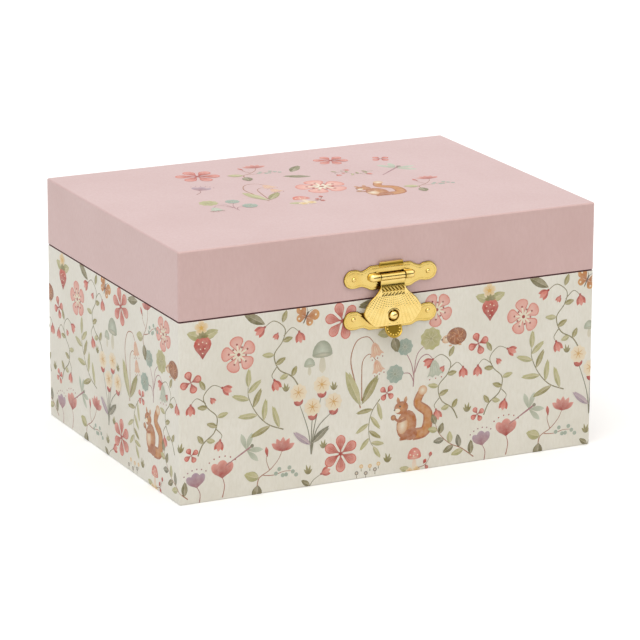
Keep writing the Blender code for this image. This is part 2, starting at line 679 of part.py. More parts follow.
def mesh_phase():
    """The direction from the cylinder's axis to the governor's, in the plane across them."""
    return math.atan2(GOVERNOR_Z - SHAFT_Z, GOVERNOR_Y - BARREL_Y)


def cylinder_pins(length):
    """Two pins a note, stepped round the drum by a fixed rule."""
    pitch = length / (NOTES + 1)
    shape = bmesh.new()
    for note in range(NOTES):
        for repeat in range(2):
            made = bmesh.ops.create_cube(shape, size=1.0)["verts"]
            bmesh.ops.scale(shape, vec=(0.9, 0.4, 0.4), verts=made)
            bmesh.ops.translate(shape, vec=(CYLINDER_R, 0, 0), verts=made)
            angle = math.radians((note * 97 + repeat * 151 + 40) % 360)
            bmesh.ops.transform(shape, matrix=Matrix.Rotation(angle, 4, "Z"), verts=made)
            bmesh.ops.translate(shape, vec=(0, 0, pitch * (note + 1)), verts=made)
    bmesh.ops.scale(shape, vec=(MM, MM, MM), verts=shape.verts)
    mesh = bpy.data.meshes.new("pins")
    shape.to_mesh(mesh)
    shape.free()
    pins = new_object("pins", mesh, STEEL)
    pins.location = point(CYLINDER_LOW, BARREL_Y, SHAFT_Z)
    pins.rotation_euler = Vector((1, 0, 0)).to_track_quat("Z", "Y").to_euler()
    return pins


def comb():
    """A steel comb: one tooth a note, in front of the cylinder, held by two screws."""
    pitch = (CYLINDER_HIGH - CYLINDER_LOW) / (NOTES + 1)
    left, right = 13.0, 32.0
    tip, root, front = BARREL_Y - CYLINDER_R - 0.75, 8.4, 1.2
    outline = [(left, front), (right, front), (right, root)]
    for note in reversed(range(NOTES)):
        x = CYLINDER_LOW + pitch * (note + 1)
        outline += [(x + 0.38, root), (x + 0.38, tip), (x - 0.38, tip), (x - 0.38, root)]
    outline.append((left, root))
    holes = [circle((x, COMB_SCREW_Y), 1.4, 12) for x in COMB_SCREWS]
    slab("comb", [outline, *holes], COMB_HIGH - COMB_LOW, STEEL, (0, 0, (COMB_LOW + COMB_HIGH) / 2))
    for x, word in zip(COMB_SCREWS, ("left", "right")):
        screw(f"comb_screw_{word}", (x, COMB_SCREW_Y, COMB_HIGH + FIT), 1, 1.3, 6.0)
    for (x, y), word in zip(MOVEMENT_SCREWS, ("left", "right")):
        screw(f"movement_screw_{word}", (x, y, BOTTOM_LOW - FIT), -1, 1.5, 5.3)


def screw(name, seat, way, head, shank):
    """A cheese-head screw: the head lies beyond its seat, the shank goes back through it."""
    profile = [(0, head), (1.9, head), (2.2, head - 0.3), (2.2, 0), (1.0, 0), (1.0, -shank), (0, -shank)]
    turned(name, profile, STEEL, seat, (0, 0, way), 12)


def governor():
    """A pinion and worm wheel on one arbor, the worm with its air brake, and the frame for both."""
    phase = mesh_phase() + math.pi + math.pi / GOVERNOR_TEETH
    arbor = rod("governor_wheel", (33.0, GOVERNOR_Y, GOVERNOR_Z), (42.4, GOVERNOR_Y, GOVERNOR_Z), 0.55, STEEL)
    centre = (0, GOVERNOR_Y, GOVERNOR_Z)
    pinion = gear_outline(GOVERNOR_TEETH, MODULE * GOVERNOR_TEETH / 2, phase)
    union(arbor, slab("governor_pinion", [pinion], 1.4, STEEL, (36.4, *centre[1:]), "right"))
    wheel = gear_outline(WORM_WHEEL_TEETH, WORM_WHEEL_R, math.pi)
    union(arbor, slab("worm_wheel", [wheel], 0.9, NYLON, (WORM_X, *centre[1:]), "right"))
    fly()
    governor_frame()


def fly():
    """A two-start worm below a flat blade that fans the air."""
    start, end = (WORM_X, WORM_Y, 17.5), (WORM_X, WORM_Y, 41.2)
    spindle = rod("air_brake", start, end, 0.55, STEEL)
    union(spindle, worm())
    low, high = (WORM_X - FLY_R, WORM_Y - 0.3, 34.6), (WORM_X + FLY_R, WORM_Y + 0.3, 39.9)
    union(spindle, box("blade", low, high, NYLON))


def worm():
    """A helical two-start thread, skinned as rings whose radius follows the thread's angle."""
    root, crest = 0.8, 1.9
    low, high = GOVERNOR_Z - 4.4, GOVERNOR_Z + 4.4
    lead = 2 * math.pi * MODULE
    around, rings = 12, 36
    shape = bmesh.new()
    bmesh.ops.create_cone(shape, cap_ends=True, segments=around, radius1=1, radius2=1, depth=2)
    sides = [edge for edge in shape.edges if abs(edge.verts[0].co.z - edge.verts[1].co.z) > 1]
    bmesh.ops.subdivide_edges(shape, edges=sides, cuts=rings)
    for vert in shape.verts:
        z = low + (vert.co.z + 1) / 2 * (high - low)
        angle = math.atan2(vert.co.y, vert.co.x)
        turn = 2 * ((z - GOVERNOR_Z) * 2 * math.pi / lead - angle)
        ridge = max(0.0, min(1.0, 1.6 * math.cos(turn) - 0.5))
        radius = root + (crest - root) * ridge
        vert.co = Vector((radius * math.cos(angle), radius * math.sin(angle), z)) * MM
    bmesh.ops.translate(shape, vec=point(WORM_X, WORM_Y, 0), verts=shape.verts)
    mesh = bpy.data.meshes.new("worm")
    shape.to_mesh(mesh)
    shape.free()
    return new_object("worm", mesh, STEEL)


def governor_frame():
    """A folded bracket: a foot, a front post with an arm over the fly, and a side plate."""
    low = BED_TOP + FIT
    frame = box("governor_frame", (36.4, 2.2, low), (42.0, 17.2, low + 1.2), STEEL)
    union(frame, box("frame_post", (36.5, 2.3, low + 0.5), (41.9, 3.4, 41.6), STEEL))
    union(frame, box("frame_arm", (37.8, 2.8, 40.4), (40.6, 9.0, 41.5), STEEL))
    union(frame, box("frame_side", (40.9, 10.4, low + 0.5), (41.9, 17.1, 32.0), STEEL))
    cut(frame,
        rod("side_bearing", (39.5, GOVERNOR_Y, GOVERNOR_Z), (44, GOVERNOR_Y, GOVERNOR_Z), 0.8, STEEL),
        rod("fly_bearings", (WORM_X, WORM_Y, 17), (WORM_X, WORM_Y, 43), 0.8, STEEL))


def stop_rod():
    """A wire lever that the lid presses down, with its foot beside the fly."""
    low, high = 36.5, LINING_LOW - 0.4
    foot = [(ROD_X, 12.0, low), (ROD_X, ROD_Y - 1.5, low)]
    bend = [(ROD_X, ROD_Y - 0.4, low + 0.5), (ROD_X, ROD_Y, low + 1.6)]
    rod_wire = wire("stop_rod", [*foot, *bend, (ROD_X, ROD_Y, high)], ROD_R, STEEL, smooth=2)
    tip = [(0, high), (0.8, high - 0.1), (1.2, high - 0.6), (1.2, high - 4.0), (0, high - 4.0)]
    union(rod_wire, turned("rod_tip", tip, NYLON, (ROD_X, ROD_Y, 0), steps=16))


# ---------------------------------------------------------------- dancer

def spring(stand):
    """Her coil spring, with its foot on the turntable."""
    per_turn = 10
    count = SPRING_TURNS * per_turn
    path = []
    for i in range(count + 1):
        a = 2 * math.pi * i / per_turn
        z = SPRING_LOW + (SPRING_HIGH - SPRING_LOW) * i / count
        path.append((SPRING_R * math.cos(a), SPRING_R * math.sin(a), z))
    coil = wire("ballerina_spring", path, SPRING_WIRE, STEEL, smooth=0)
    coil.parent = stand


def figure(stand):
    """The dancer on points, arms raised over her head: a turned body with head, bun, arms and a
    bent leg joined to it."""
    low = FOOT_Z
    body = [(0, low + 33.0), (0.9, low + 32.9), (0.95, low + 31.0), (2.3, low + 30.0), (2.75, low + 27.5),
            (1.9, low + 24.0), (2.8, low + 20.6), (2.3, low + 18.5), (1.7, low + 16.5), (1.05, low + 10.5),
            (1.3, low + 8.0), (0.8, low + 4.0), (0.75, low + 1.2), (3.0, low + 1.1), (3.0, low), (0, low)]
    made = turned("figure", body, PORCELAIN, (0, 0, 0), steps=16)
    made.parent = stand
    head = ball("head", (0, -0.2, low + 35.2), (2.3, 2.5, 3.0))
    bun = ball("bun", (0, 1.7, low + 37.6), (1.5, 1.5, 1.3))
    arms = []
    for side in (-1, 1):
        upper = [(side * 1.8, 0, low + 29.4), (side * 3.6, -0.2, low + 31.5), (side * 5.6, -0.6, low + 35.0)]
        fore = [(side * 4.4, -1.0, low + 39.5), (side * 1.2, -1.2, low + 42.6)]
        arms.append(wire(f"arm_{side}", upper + fore, 0.75, PORCELAIN, radii=[1.2, 1.2, 1.0, 0.85, 0.7]))
    bend = [(0.8, 0, low + 18.0), (5.6, -1.6, low + 13.0), (1.2, -0.9, low + 9.6)]
    leg = wire("bent_leg", bend, 1.2, PORCELAIN, radii=[1.2, 0.85, 0.5])
    for piece in (head, bun, *arms, leg):
        piece.parent = stand
    union(made, head, bun, *arms, leg)


def ball(name, centre, radii):
    shape = bmesh.new()
    bmesh.ops.create_uvsphere(shape, u_segments=12, v_segments=8, radius=1.0)
    bmesh.ops.scale(shape, vec=Vector(radii) * MM, verts=shape.verts)
    bmesh.ops.translate(shape, vec=point(*centre), verts=shape.verts)
    mesh = bpy.data.meshes.new(name)
    shape.to_mesh(mesh)
    shape.free()
    mesh.shade_smooth()
    return new_object(name, mesh, PORCELAIN)


def tutu(stand):
    """The skirt as a shallow dished ring round her hips."""
    z = TUTU_Z
    upper = [(3.3, z + 0.9), (9.0, z + 1.0), (TUTU_R, z - 0.2)]
    under = [(TUTU_R, z - 1.0), (9.0, z - 1.2), (3.3, z - 1.4)]
    skirt = turned("tutu", upper + under, TULLE, (0, 0, 0), steps=24, ring=True)
    skirt.parent = stand


# ---------------------------------------------------------------- assembly

def build():
    base_boards()
    dividers()
    linings()
    movement_deck()
    stay_ribbon()
    lid = pivot("lid_pivot", (0, HINGE_Y, HINGE_Z))
    lid_boards(lid)
    hinge(-1, lid)
    hinge(1, lid)
    clasp_plate(lid)
    hasp(lid)
    catch()
    bedplate()
    barrel_bridge()
    spring_barrel()
    mainspring()
    turntable()
    winding_gear()
    cylinder_group()
    comb()
    governor()
    stop_rod()
    stand = pivot("ballerina_pivot", PIVOT, LEAN)
    spring(stand)
    figure(stand)
    tutu(stand)


build()
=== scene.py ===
"""The finished looks of a ballerina jewellery box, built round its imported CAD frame.

Lengths are in millimetres and angles in degrees; they become metres and radians where meshes are made.
X runs to the right along the front, Y to the back and Z up.
"""
import json
import math
import random

import bmesh
import bpy
from mathutils import Matrix, Vector, noise
from mathutils.geometry import delaunay_2d_cdt
from mathutils.kdtree import KDTree


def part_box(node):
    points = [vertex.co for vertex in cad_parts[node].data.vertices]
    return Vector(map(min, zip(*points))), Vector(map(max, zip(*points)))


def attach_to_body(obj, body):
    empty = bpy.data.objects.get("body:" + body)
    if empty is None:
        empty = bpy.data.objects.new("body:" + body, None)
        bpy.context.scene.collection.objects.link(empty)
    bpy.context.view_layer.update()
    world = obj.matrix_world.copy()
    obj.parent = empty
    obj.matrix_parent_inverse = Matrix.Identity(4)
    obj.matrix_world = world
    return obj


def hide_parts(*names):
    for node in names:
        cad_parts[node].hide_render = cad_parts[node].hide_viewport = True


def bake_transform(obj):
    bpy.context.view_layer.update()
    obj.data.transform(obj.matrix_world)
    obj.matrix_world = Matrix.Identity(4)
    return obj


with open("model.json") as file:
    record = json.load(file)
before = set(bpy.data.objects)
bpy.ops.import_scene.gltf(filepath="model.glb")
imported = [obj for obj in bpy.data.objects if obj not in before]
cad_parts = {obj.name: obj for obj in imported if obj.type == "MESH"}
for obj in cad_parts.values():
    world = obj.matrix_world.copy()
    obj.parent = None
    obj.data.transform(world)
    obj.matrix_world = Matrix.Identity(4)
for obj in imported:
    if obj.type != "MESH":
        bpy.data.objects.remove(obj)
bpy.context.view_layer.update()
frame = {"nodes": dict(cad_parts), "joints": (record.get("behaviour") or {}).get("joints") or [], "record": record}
NODES = frame["nodes"]
MM = 0.001


def corners(node):
    """A CAD node's lowest and highest corners in millimetres."""
    low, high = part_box(node)
    return low / MM, high / MM


def centre(node):
    low, high = corners(node)
    return (low + high) / 2


CASE_LOW, CASE_HIGH = corners("front_board")[0], corners("back_board")[1]
LID_LOW, LID_HIGH = corners("lid_front_rail")[0], corners("lid_top_board")[1]
HALF_X, HALF_Y = CASE_HIGH.x, CASE_HIGH.y
WALL = corners("left_board")[1].x + HALF_X
FRONT = -HALF_Y
# Radii of the papered edges: upright corners, rims at the seam, foot, the lid's top edge and inner corners.
CORNER_R, RIM_R, FOOT_R, LID_EDGE_R, INNER_R = 0.9, 0.5, 0.5, 0.75, 0.4


# ---------------------------------------------------------------- small helpers

def tint(code):
    """A linear colour from six hex digits."""
    parts = [int(code[i:i + 2], 16) / 255 for i in (0, 2, 4)]
    return tuple(p / 12.92 if p <= 0.04045 else ((p + 0.055) / 1.055) ** 2.4 for p in parts)


def mix(a, b, share):
    return tuple(x + (y - x) * share for x, y in zip(a, b))


def turned_point(x, y, degrees):
    c, s = math.cos(math.radians(degrees)), math.sin(math.radians(degrees))
    return x * c - y * s, x * s + y * c


def curve(*anchors, steps=6):
    """Points on a smooth line through the anchors, in any number of dimensions."""
    ends = [anchors[0], *anchors, anchors[-1]]
    line = []
    for a, b, c, d in zip(ends, ends[1:], ends[2:], ends[3:]):
        for i in range(steps):
            t = i / steps
            line.append(tuple(
                0.5 * (2 * q + (r - p) * t + (2 * p - 5 * q + 4 * r - s) * t * t
                       + (3 * q - p - 3 * r + s) * t ** 3)
                for p, q, r, s in zip(a, b, c, d)))
    return line + [tuple(anchors[-1])]


def round_points(r, steps, squash=1.0):
    """Points on a circle, or on an ellipse, about the origin; one point if the radius is none."""
    turns = (2 * math.pi * k / steps for k in range(steps))
    return [(r * math.cos(a), r * squash * math.sin(a)) for a in turns] if r else [(0, 0)]


def crease(shape, normal, places):
    """Cuts a mesh by planes across an axis, at these places on it."""
    for place in places:
        everything = shape.verts[:] + shape.edges[:] + shape.faces[:]
        bmesh.ops.bisect_plane(shape, geom=everything, plane_co=Vector(normal) * place, plane_no=normal)


def quads(rows, across, wrap=True, close=False):
    """Faces between successive rows of numbered points. wrap joins each row's ends, and close joins the
    last row to the first."""
    faces = []
    for row in range(rows if close else rows - 1):
        low, high = row * across, (row + 1) % rows * across
        faces += [(low + i, low + (i + 1) % across, high + (i + 1) % across, high + i)
                  for i in range(across if wrap else across - 1)]
    return faces


def span(shape, rows, wrap=True):
    """Faces between successive rows of a bmesh's points, where a row may be one point."""
    across = max(len(row) for row in rows)
    for low, high in zip(rows, rows[1:]):
        for k in range(across if wrap else across - 1):
            corner = [row[n % len(row)] for row, n in ((low, k), (low, k + 1), (high, k + 1), (high, k))]
            shape.faces.new(list(dict.fromkeys(corner)))


def link(name, data, material=None):
    """A new object in the scene."""
    if material:
        data.materials.append(material)
    made = bpy.data.objects.new(name, data)
    bpy.context.scene.collection.objects.link(made)
    return made


def piece(name, verts, faces, material, smooth=True):
    """A new mesh object from points in millimetres."""
    mesh = bpy.data.meshes.new(name)
    mesh.from_pydata([Vector(v) * MM for v in verts], [], faces)
    if smooth:
        mesh.shade_smooth()
    return link(name, mesh, material)


def finished(name, shape, material):
    """An object from a bmesh drawn in millimetres, which it uses up."""
    bmesh.ops.scale(shape, vec=(MM, MM, MM), verts=shape.verts[:])
    mesh = bpy.data.meshes.new(name)
    shape.to_mesh(mesh)
    shape.free()
    return link(name, mesh, material)


def attach(made, body, slot, *stands_for):
    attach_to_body(made, body)
    if stands_for:
        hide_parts(*stands_for)
    return made


def weighted_normals(made):
    made.modifiers.new("normals", "WEIGHTED_NORMAL").keep_sharp = True


def join(name, *objects):
    """One object from several new ones."""
    with bpy.context.temp_override(active_object=objects[0], selected_editable_objects=objects):
        bpy.ops.object.join()
    objects[0].name = name
    return objects[0]


# ---------------------------------------------------------------- materials

class Shader:
    """A Principled material with short ways to feed its inputs."""

    def __init__(self, name, colour, roughness=0.5, **inputs):
        self.material = bpy.data.materials.new(name)
        self.material.use_nodes = True
        self.tree = self.material.node_tree
        self.principled = self.tree.nodes["Principled BSDF"]
        self.set("Base Color", (*colour, 1.0))
        self.set("Roughness", roughness)
        for key, value in inputs.items():
            self.set(key.replace("_", " "), value)
        self.place = self.tree.nodes.new("ShaderNodeTexCoord").outputs["Object"]

    @classmethod
    def of_world(cls, name):
        """The same short ways for the world."""
        made = cls.__new__(cls)
        bpy.context.scene.world = bpy.data.worlds.new(name)
        bpy.context.scene.world.use_nodes = True
        made.tree = bpy.context.scene.world.node_tree
        made.place = made.tree.nodes.new("ShaderNodeTexCoord").outputs["Generated"]
        return made

    def ramp(self, value, *stops):
        """Greys at places from 0 to 1."""
        made = self.tree.nodes.new("ShaderNodeValToRGB")
        self.fill(made.inputs[0], value)
        colours = made.color_ramp.elements
        for place, grey in stops:
            colours.new(place).color = (grey, grey, grey, 1)
        colours.remove(colours[0])
        colours.remove(colours[-1])
        return made.outputs[0]

    def set(self, name, value):
        """Gives an input a value, or feeds it from another node's output."""
        self.fill(self.principled.inputs[name], value)

    def fill(self, socket, value):
        if isinstance(value, bpy.types.NodeSocket):
            self.tree.links.new(value, socket)
        else:
            socket.default_value = value

    def node(self, kind, output=0, settings=None, **inputs):
        """A new node's output. Settings are the node's own choices, inputs its sockets by name."""
        made = self.tree.nodes.new("ShaderNode" + kind)
        for key, value in (settings or {}).items():
            setattr(made, key, value)
        for key, value in inputs.items():
            self.fill(made.inputs[key.replace("_", " ")], value)
        return made.outputs[output]

    def stretched(self, x=1.0, y=1.0, z=1.0):
        return self.node("Mapping", Vector=self.place, Scale=(x, y, z))

    def noise(self, per_mm, detail=2.0, place=None):
        """Cloudy values from 0 to 1, with about this many clouds to the millimetre."""
        return self.node("TexNoise", "Fac", Vector=place or self.place, Scale=per_mm / MM, Detail=detail)

    def band(self, value, low, high, to_low=0.0, to_high=1.0):
        """Maps values between low and high to a new range."""
        return self.node("MapRange", Value=value, From_Min=low, From_Max=high, To_Min=to_low, To_Max=to_high)

    def maths(self, operation, a, b=0.5):
        made = self.tree.nodes.new("ShaderNodeMath")
        made.operation = operation
        self.fill(made.inputs[0], a)
        self.fill(made.inputs[1], b)
        return made.outputs[0]

    def blend(self, share, a, b, how="MIX"):
        """A colour between two others."""
        made = self.tree.nodes.new("ShaderNodeMix")
        made.data_type, made.blend_type = "RGBA", how
        self.fill(made.inputs["Factor"], share)
        for socket, value in ((made.inputs[6], a), (made.inputs[7], b)):
            self.fill(socket, value if isinstance(value, bpy.types.NodeSocket) else (*value, 1.0))
        return made.outputs[2]

    def bump(self, height, depth_mm):
        self.set("Normal", self.node("Bump", Height=height, Distance=depth_mm * MM))


def paper(name, light, dark, roughness, fibre_depth, coat=0.0):
    """Coated wrapping paper: slow tone drift, fine fibres and a faint tooth."""
    made = Shader(name, light, roughness, Coat_Weight=coat, Coat_Roughness=0.3)
    drift = made.band(made.noise(0.03, 3), 0.35, 0.65)
    fibres = made.noise(1.3, 4, made.stretched(1, 1, 0.35))
    tone = made.blend(drift, light, mix(light, dark, 0.5))
    made.set("Base Color", made.blend(made.band(fibres, 0.35, 0.75, 0.0, 0.45), tone, dark))
    made.set("Roughness", made.band(fibres, 0.3, 0.7, roughness - 0.06, roughness + 0.08))
    made.bump(made.maths("ADD", fibres, made.noise(4.0, 2)), fibre_depth)
    return made.material


def ink():
    """The print: painted tints with the paper's tooth and a watercolour unevenness."""
    made = Shader("printed_ink", (0.5, 0.5, 0.5), 0.5)
    colour = made.node("Attribute", "Color", {"attribute_name": "tint"})
    wash = made.band(made.noise(0.55, 4), 0.3, 0.7, 0.0, 0.28)
    pale = made.blend(wash, colour, tint("efe6d8"))
    grain = made.band(made.noise(3.0, 3), 0.35, 0.7, 0.0, 0.3)
    made.set("Base Color", made.blend(grain, pale, made.blend(0.5, colour, colour, "MULTIPLY")))
    made.bump(made.noise(1.3, 4, made.stretched(1, 1, 0.35)), 0.02)
    return made.material


def velvet(name, light, dark):
    """Short flock: a grainy pile brushed light and dark, with a soft sheen at grazing angles."""
    made = Shader(name, light, 0.95, Sheen_Weight=0.7, Sheen_Roughness=0.4)
    made.set("Sheen Tint", (*mix(light, (1, 1, 1), 0.5), 1.0))
    brushed = made.band(made.noise(0.09, 4), 0.35, 0.65)
    pile = made.noise(5.0, 3)
    nap = made.blend(made.band(pile, 0.3, 0.7, 0.0, 0.55), mix(light, dark, 0.15), dark)
    made.set("Base Color", made.blend(made.maths("MULTIPLY", brushed, 0.6), nap, light))
    made.bump(pile, 0.12)
    return made.material


def metal(name, colour, deep, roughness, scratch_depth, brushed=(1, 1, 1), patina_and_shade=None):
    """Plated or polished metal: faint scratches and dulled patches. Where the vertex darkening is high, in
    hollows, grooves and where parts meet, the colour goes towards the bright colour times the patina colour,
    through deeper and deeper tones: patina with painted shade."""
    made = Shader(name, colour, roughness, Metallic=1.0)
    patches = made.band(made.noise(0.25, 4), 0.35, 0.7)
    lines = made.noise(3.0, 3, made.stretched(*brushed))
    bright = made.blend(made.maths("MULTIPLY", patches, 0.45), colour, deep)
    worn = made.maths("ADD", made.band(lines, 0.3, 0.7, -0.04, 0.05), made.band(patches, 0, 1, 0, 0.07))
    if patina_and_shade:
        # Patina with painted shade: a darkening given to each vertex in hollows, grooves and where parts meet.
        shade_and_patina_mask = made.node("Attribute", "Fac", {"attribute_name": "patina_and_shade"})
        clear = made.maths("SUBTRACT", 1.0, made.maths("MULTIPLY", shade_and_patina_mask, 0.95))
        depth = made.maths("LOGARITHM", clear, 0.05)
        bright = made.blend(1.0, bright, made.node("Gamma", Color=(*patina_and_shade, 1.0), Gamma=depth), "MULTIPLY")
        worn = made.maths("ADD", worn, made.maths("MULTIPLY", shade_and_patina_mask, 0.25))
    made.set("Base Color", bright)
    made.set("Roughness", made.maths("ADD", worn, roughness))
    made.bump(lines, scratch_depth)
    return made.material


def satin(name, colour):
    """Woven satin: fine warp lines over a soft sheen."""
    weave_per_mm = 4.0
    made = Shader(name, colour, 0.38, Sheen_Weight=0.4, Anisotropic=0.4)
    warp = made.node("TexWave", "Fac", {"wave_type": "BANDS", "bands_direction": "DIAGONAL"},
                     Vector=made.place, Scale=weave_per_mm / MM / 6, Distortion=0.6)
    made.set("Base Color", made.blend(made.band(warp, 0, 1, 0, 0.25), colour, mix(colour, (0, 0, 0), 0.3)))
    made.bump(warp, 0.02)
    return made.material


def moulded(name, colour, roughness, spots=0.15):
    """Moulded or painted plastic with a slight orange peel and uneven tone."""
    made = Shader(name, colour, roughness)
    tone = made.band(made.noise(0.4, 3), 0.3, 0.7, 0.0, spots)
    made.set("Base Color", made.blend(tone, colour, mix(colour, (0, 0, 0), 0.35)))
    made.set("Roughness", made.band(made.noise(1.5, 2), 0.3, 0.7, roughness - 0.05, roughness + 0.08))
    made.bump(made.noise(1.2, 2), 0.01)
    return made.material


def silvered_glass():
    """A perfect mirror behind slightly hazy, slightly wavy glass."""
    made = Shader("silvered_glass", (0.86, 0.88, 0.88), 0.0, Metallic=1.0)
    haze = made.band(made.noise(0.08, 4), 0.4, 0.75, 0.0, 1.0)
    made.set("Base Color", made.blend(haze, (0.9, 0.92, 0.92), (0.87, 0.89, 0.89)))
    made.bump(made.noise(0.02, 1), 0.01)
    return made.material


def net():
    """Stiff tulle: a see-through net that is denser where the pleats gather."""
    made = Shader("tulle_net", tint("f3c9cc"), 0.75, Sheen_Weight=0.6)
    threads = made.band(made.noise(2.2, 3), 0.35, 0.65, 0.0, 0.5)
    made.set("Base Color", made.blend(threads, tint("f7d9da"), tint("e4a6ac")))
    made.set("Alpha", 0.72)
    made.bump(made.noise(3.0, 2), 0.05)
    return made.material


PAPER = paper("ivory_paper", tint("f6f4ea"), tint("e4e0d1"), 0.5, 0.012)
LID_PAPER = paper("dusty_pink_paper", tint("dfbfbc"), tint("d5b2ae"), 0.42, 0.008, coat=0.4)
# Dark rose paper whose colour is painted shade in the seam between lid and base.
SEAM_SHADE_PAPER = paper("rose_seam_shade_paper", tint("7a4a4d"), tint("5f373b"), 0.6, 0.012)
INK = ink()
VELVET = velvet("rose_velvet", tint("e0aeb2"), tint("b97c84"))
# The brass's patina colour also paints shade into hollows, grooves and where parts meet.
BRASS = metal("polished_brass", tint("fce196"), tint("edc565"), 0.1, 0.004, patina_and_shade=(0.068, 0.043, 0.003))
MOVEMENT_BRASS = metal("machined_brass", tint("d9b969"), tint("b8923f"), 0.25, 0.01, (0.2, 1, 1))
STEEL = metal("plated_steel", tint("c9cacb"), tint("a7a9ab"), 0.22, 0.008, (1, 0.3, 1))
BED = metal("cast_zinc", tint("aeb0b0"), tint("8d9090"), 0.42, 0.03)
NYLON = moulded("white_nylon", tint("ece9e0"), 0.4)
MIRROR = silvered_glass()
RIBBON = satin("rose_ribbon", tint("e3a8ad"))
TULLE = net()
SKIN = moulded("painted_skin", tint("f0cbb4"), 0.35, 0.08)
HAIR = moulded("painted_hair", tint("6e4630"), 0.45, 0.5)
LEOTARD = satin("satin_leotard", tint("e9a9b2"))


# ---------------------------------------------------------------- wrapped shells

def rounded_rectangle(half_x, half_y, radius, steps=6):
    """Points round a rectangle with rounded corners, from its right front corner to the left."""
    outline = []
    for quarter, (sx, sy) in enumerate(((1, -1), (1, 1), (-1, 1), (-1, -1))):
        for i in range(steps + 1):
            a = math.radians(90 * (quarter - 1) + 90 * i / steps)
            outline.append((sx * (half_x - radius) + radius * math.cos(a),
                            sy * (half_y - radius) + radius * math.sin(a)))
    return outline


def fillet(points, radii):
    """A closed outline with each corner rounded by its own radius."""
    line, count, steps = [], len(points), 5
    for i, radius in enumerate(radii):
        here = Vector(points[i])
        to_last = (Vector(points[i - 1]) - here).normalized()
        to_next = (Vector(points[(i + 1) % count]) - here).normalized()
        if not radius:
            line.append(tuple(here))
            continue
        half = to_last.angle(to_next) / 2
        reach = radius / math.tan(half)
        start, end = here + to_last * reach, here + to_next * reach
        hub = here + (to_last + to_next).normalized() * radius / math.sin(half)
        for k in range(steps + 1):
            arm = (start - hub).lerp(end - hub, k / steps).normalized() * radius
            line.append(tuple(hub + arm))
    return line


def wrapped(name, profile, material, closed=True):
    """Rings of a rounded rectangle: each profile point is (inset from the case's sides, height).
    An open profile is capped at both its ends."""
    verts = []
    for inset, z in profile:
        radius = max(CORNER_R - inset, INNER_R)
        verts += [(x, y, z) for x, y in rounded_rectangle(HALF_X - inset, HALF_Y - inset, radius)]
    around = len(verts) // len(profile)
    faces = quads(len(profile), around, close=closed)
    if not closed:
        faces.append(tuple(reversed(range(around))))
        faces.append(tuple(range(len(verts) - around, len(verts))))
    made = piece(name, verts, faces, material)
    weighted_normals(made)
    return made


def seam_shade_strip(name, rim, radius, up):
    """A strip of dark rose paper folded over a rim, its colour painted shade in the gap of the seam. It starts on
    the rim's rounded outer edge, and both its edges are tucked into the paper below."""
    thickness, last = 0.05, WALL - radius
    arc = []
    for a in (45, 34, 23, 12, 0):
        across, rise = turned_point(0, radius + thickness, a)
        arc.append((radius + across, rim - up * (radius - rise)))
    profile = [(0.4, rim - up * 0.35)] + arc + [(last, rim + up * thickness), (last, rim - up * 0.2)]
    return wrapped(name, profile[::-up], SEAM_SHADE_PAPER)


def lining(name, outer, low, high, thickness, radii):
    """A velvet skin on the inside of the walls, with its back sunk a little into them."""
    back, face = outer - 0.1, outer + thickness
    skin = fillet([(back, low), (back, high), (face, high), (face, low)], radii)
    return wrapped(name, skin[::-1], VELVET)


# The base's lining starts just above the bottom board. Both linings stop short of the rims.
LINING_LOW, BARE_RIM, BARE_LID_RIM = 15.9, 9.0, 8.0


def base_shell():
    low, high = CASE_LOW.z, CASE_HIGH.z
    outline = [(0, low), (0, high), (WALL, high), (WALL, low)]
    profile = fillet(outline, (FOOT_R, RIM_R, RIM_R, FOOT_R))
    shell = wrapped("base_wrap", profile[::-1], PAPER)
    attach(shell, "base", "paper", "front_board", "back_board", "left_board", "right_board")
    attach(lining("base_lining", WALL, LINING_LOW, high - BARE_RIM, 0.32, (0, 0, 0.25, 0)), "base", "velvet")
    # Painted shade: a dark strip over the base's rim darkens the seam.
    attach(seam_shade_strip("base_seam_shade_strip", high, RIM_R, 1), "base", "paper")


def lid_shell():
    low, high = LID_LOW.z, LID_HIGH.z
    ceiling = corners("lid_top_board")[0].z
    outer = fillet([(0, low), (0, high), (40, high), (40, low)], (RIM_R, LID_EDGE_R, 0, 0))
    rounding = 6
    rim, edge = outer[:rounding], outer[rounding:2 * rounding]
    inner_rim = fillet([(WALL, low), (0, low), (0, high), (WALL, high)], (RIM_R, 0, 0, 0))[:rounding]
    inside = [(WALL, ceiling), (WALL + 6, ceiling)]
    profile = inside[::-1] + inner_rim + rim + edge + [(LID_EDGE_R + 6, high)]
    shell = wrapped("lid_wrap", profile, LID_PAPER, closed=False)
    attach(shell, "lid", "lid_paper", "lid_top_board", "lid_front_rail", "lid_back_rail", "lid_left_rail",
           "lid_right_rail")
    skin_high = corners("lid_lining")[0].z + 0.5
    skirt_lining = lining("lid_skirt_lining", WALL, low + BARE_LID_RIM, skin_high, 0.25, (0, 0, 0, 0.2))
    attach(skirt_lining, "lid", "velvet")
    # Painted shade: a dark strip under the lid's rim darkens the seam.
    attach(seam_shade_strip("lid_seam_shade_strip", low, RIM_R, -1), "lid", "lid_paper")


# ---------------------------------------------------------------- the printed flowers

ROSE, CORAL, DEEP_RED = tint("eaa598"), tint("da6b5a"), tint("a83632")
BLUSH, CREAM, BUTTER = tint("f4cabd"), tint("f6ecd6"), tint("e6b958")
SAGE, OLIVE, MOSS, DARK_LEAF = tint("c0bd86"), tint("a29b5c"), tint("7d7646"), tint("7c7c64")
GREY_GREEN, BLUE_GREEN, PALE_GREEN = tint("adb59f"), tint("a3b8ac"), tint("cdd5c4")
LILAC, MAUVE, TWIG = tint("b9a3b4"), tint("a8737a"), tint("a5653f")
ORANGE, RUST, TAN, INK_DARK = tint("e0a04a"), tint("b3693c"), tint("d9a878"), tint("4d3a33")


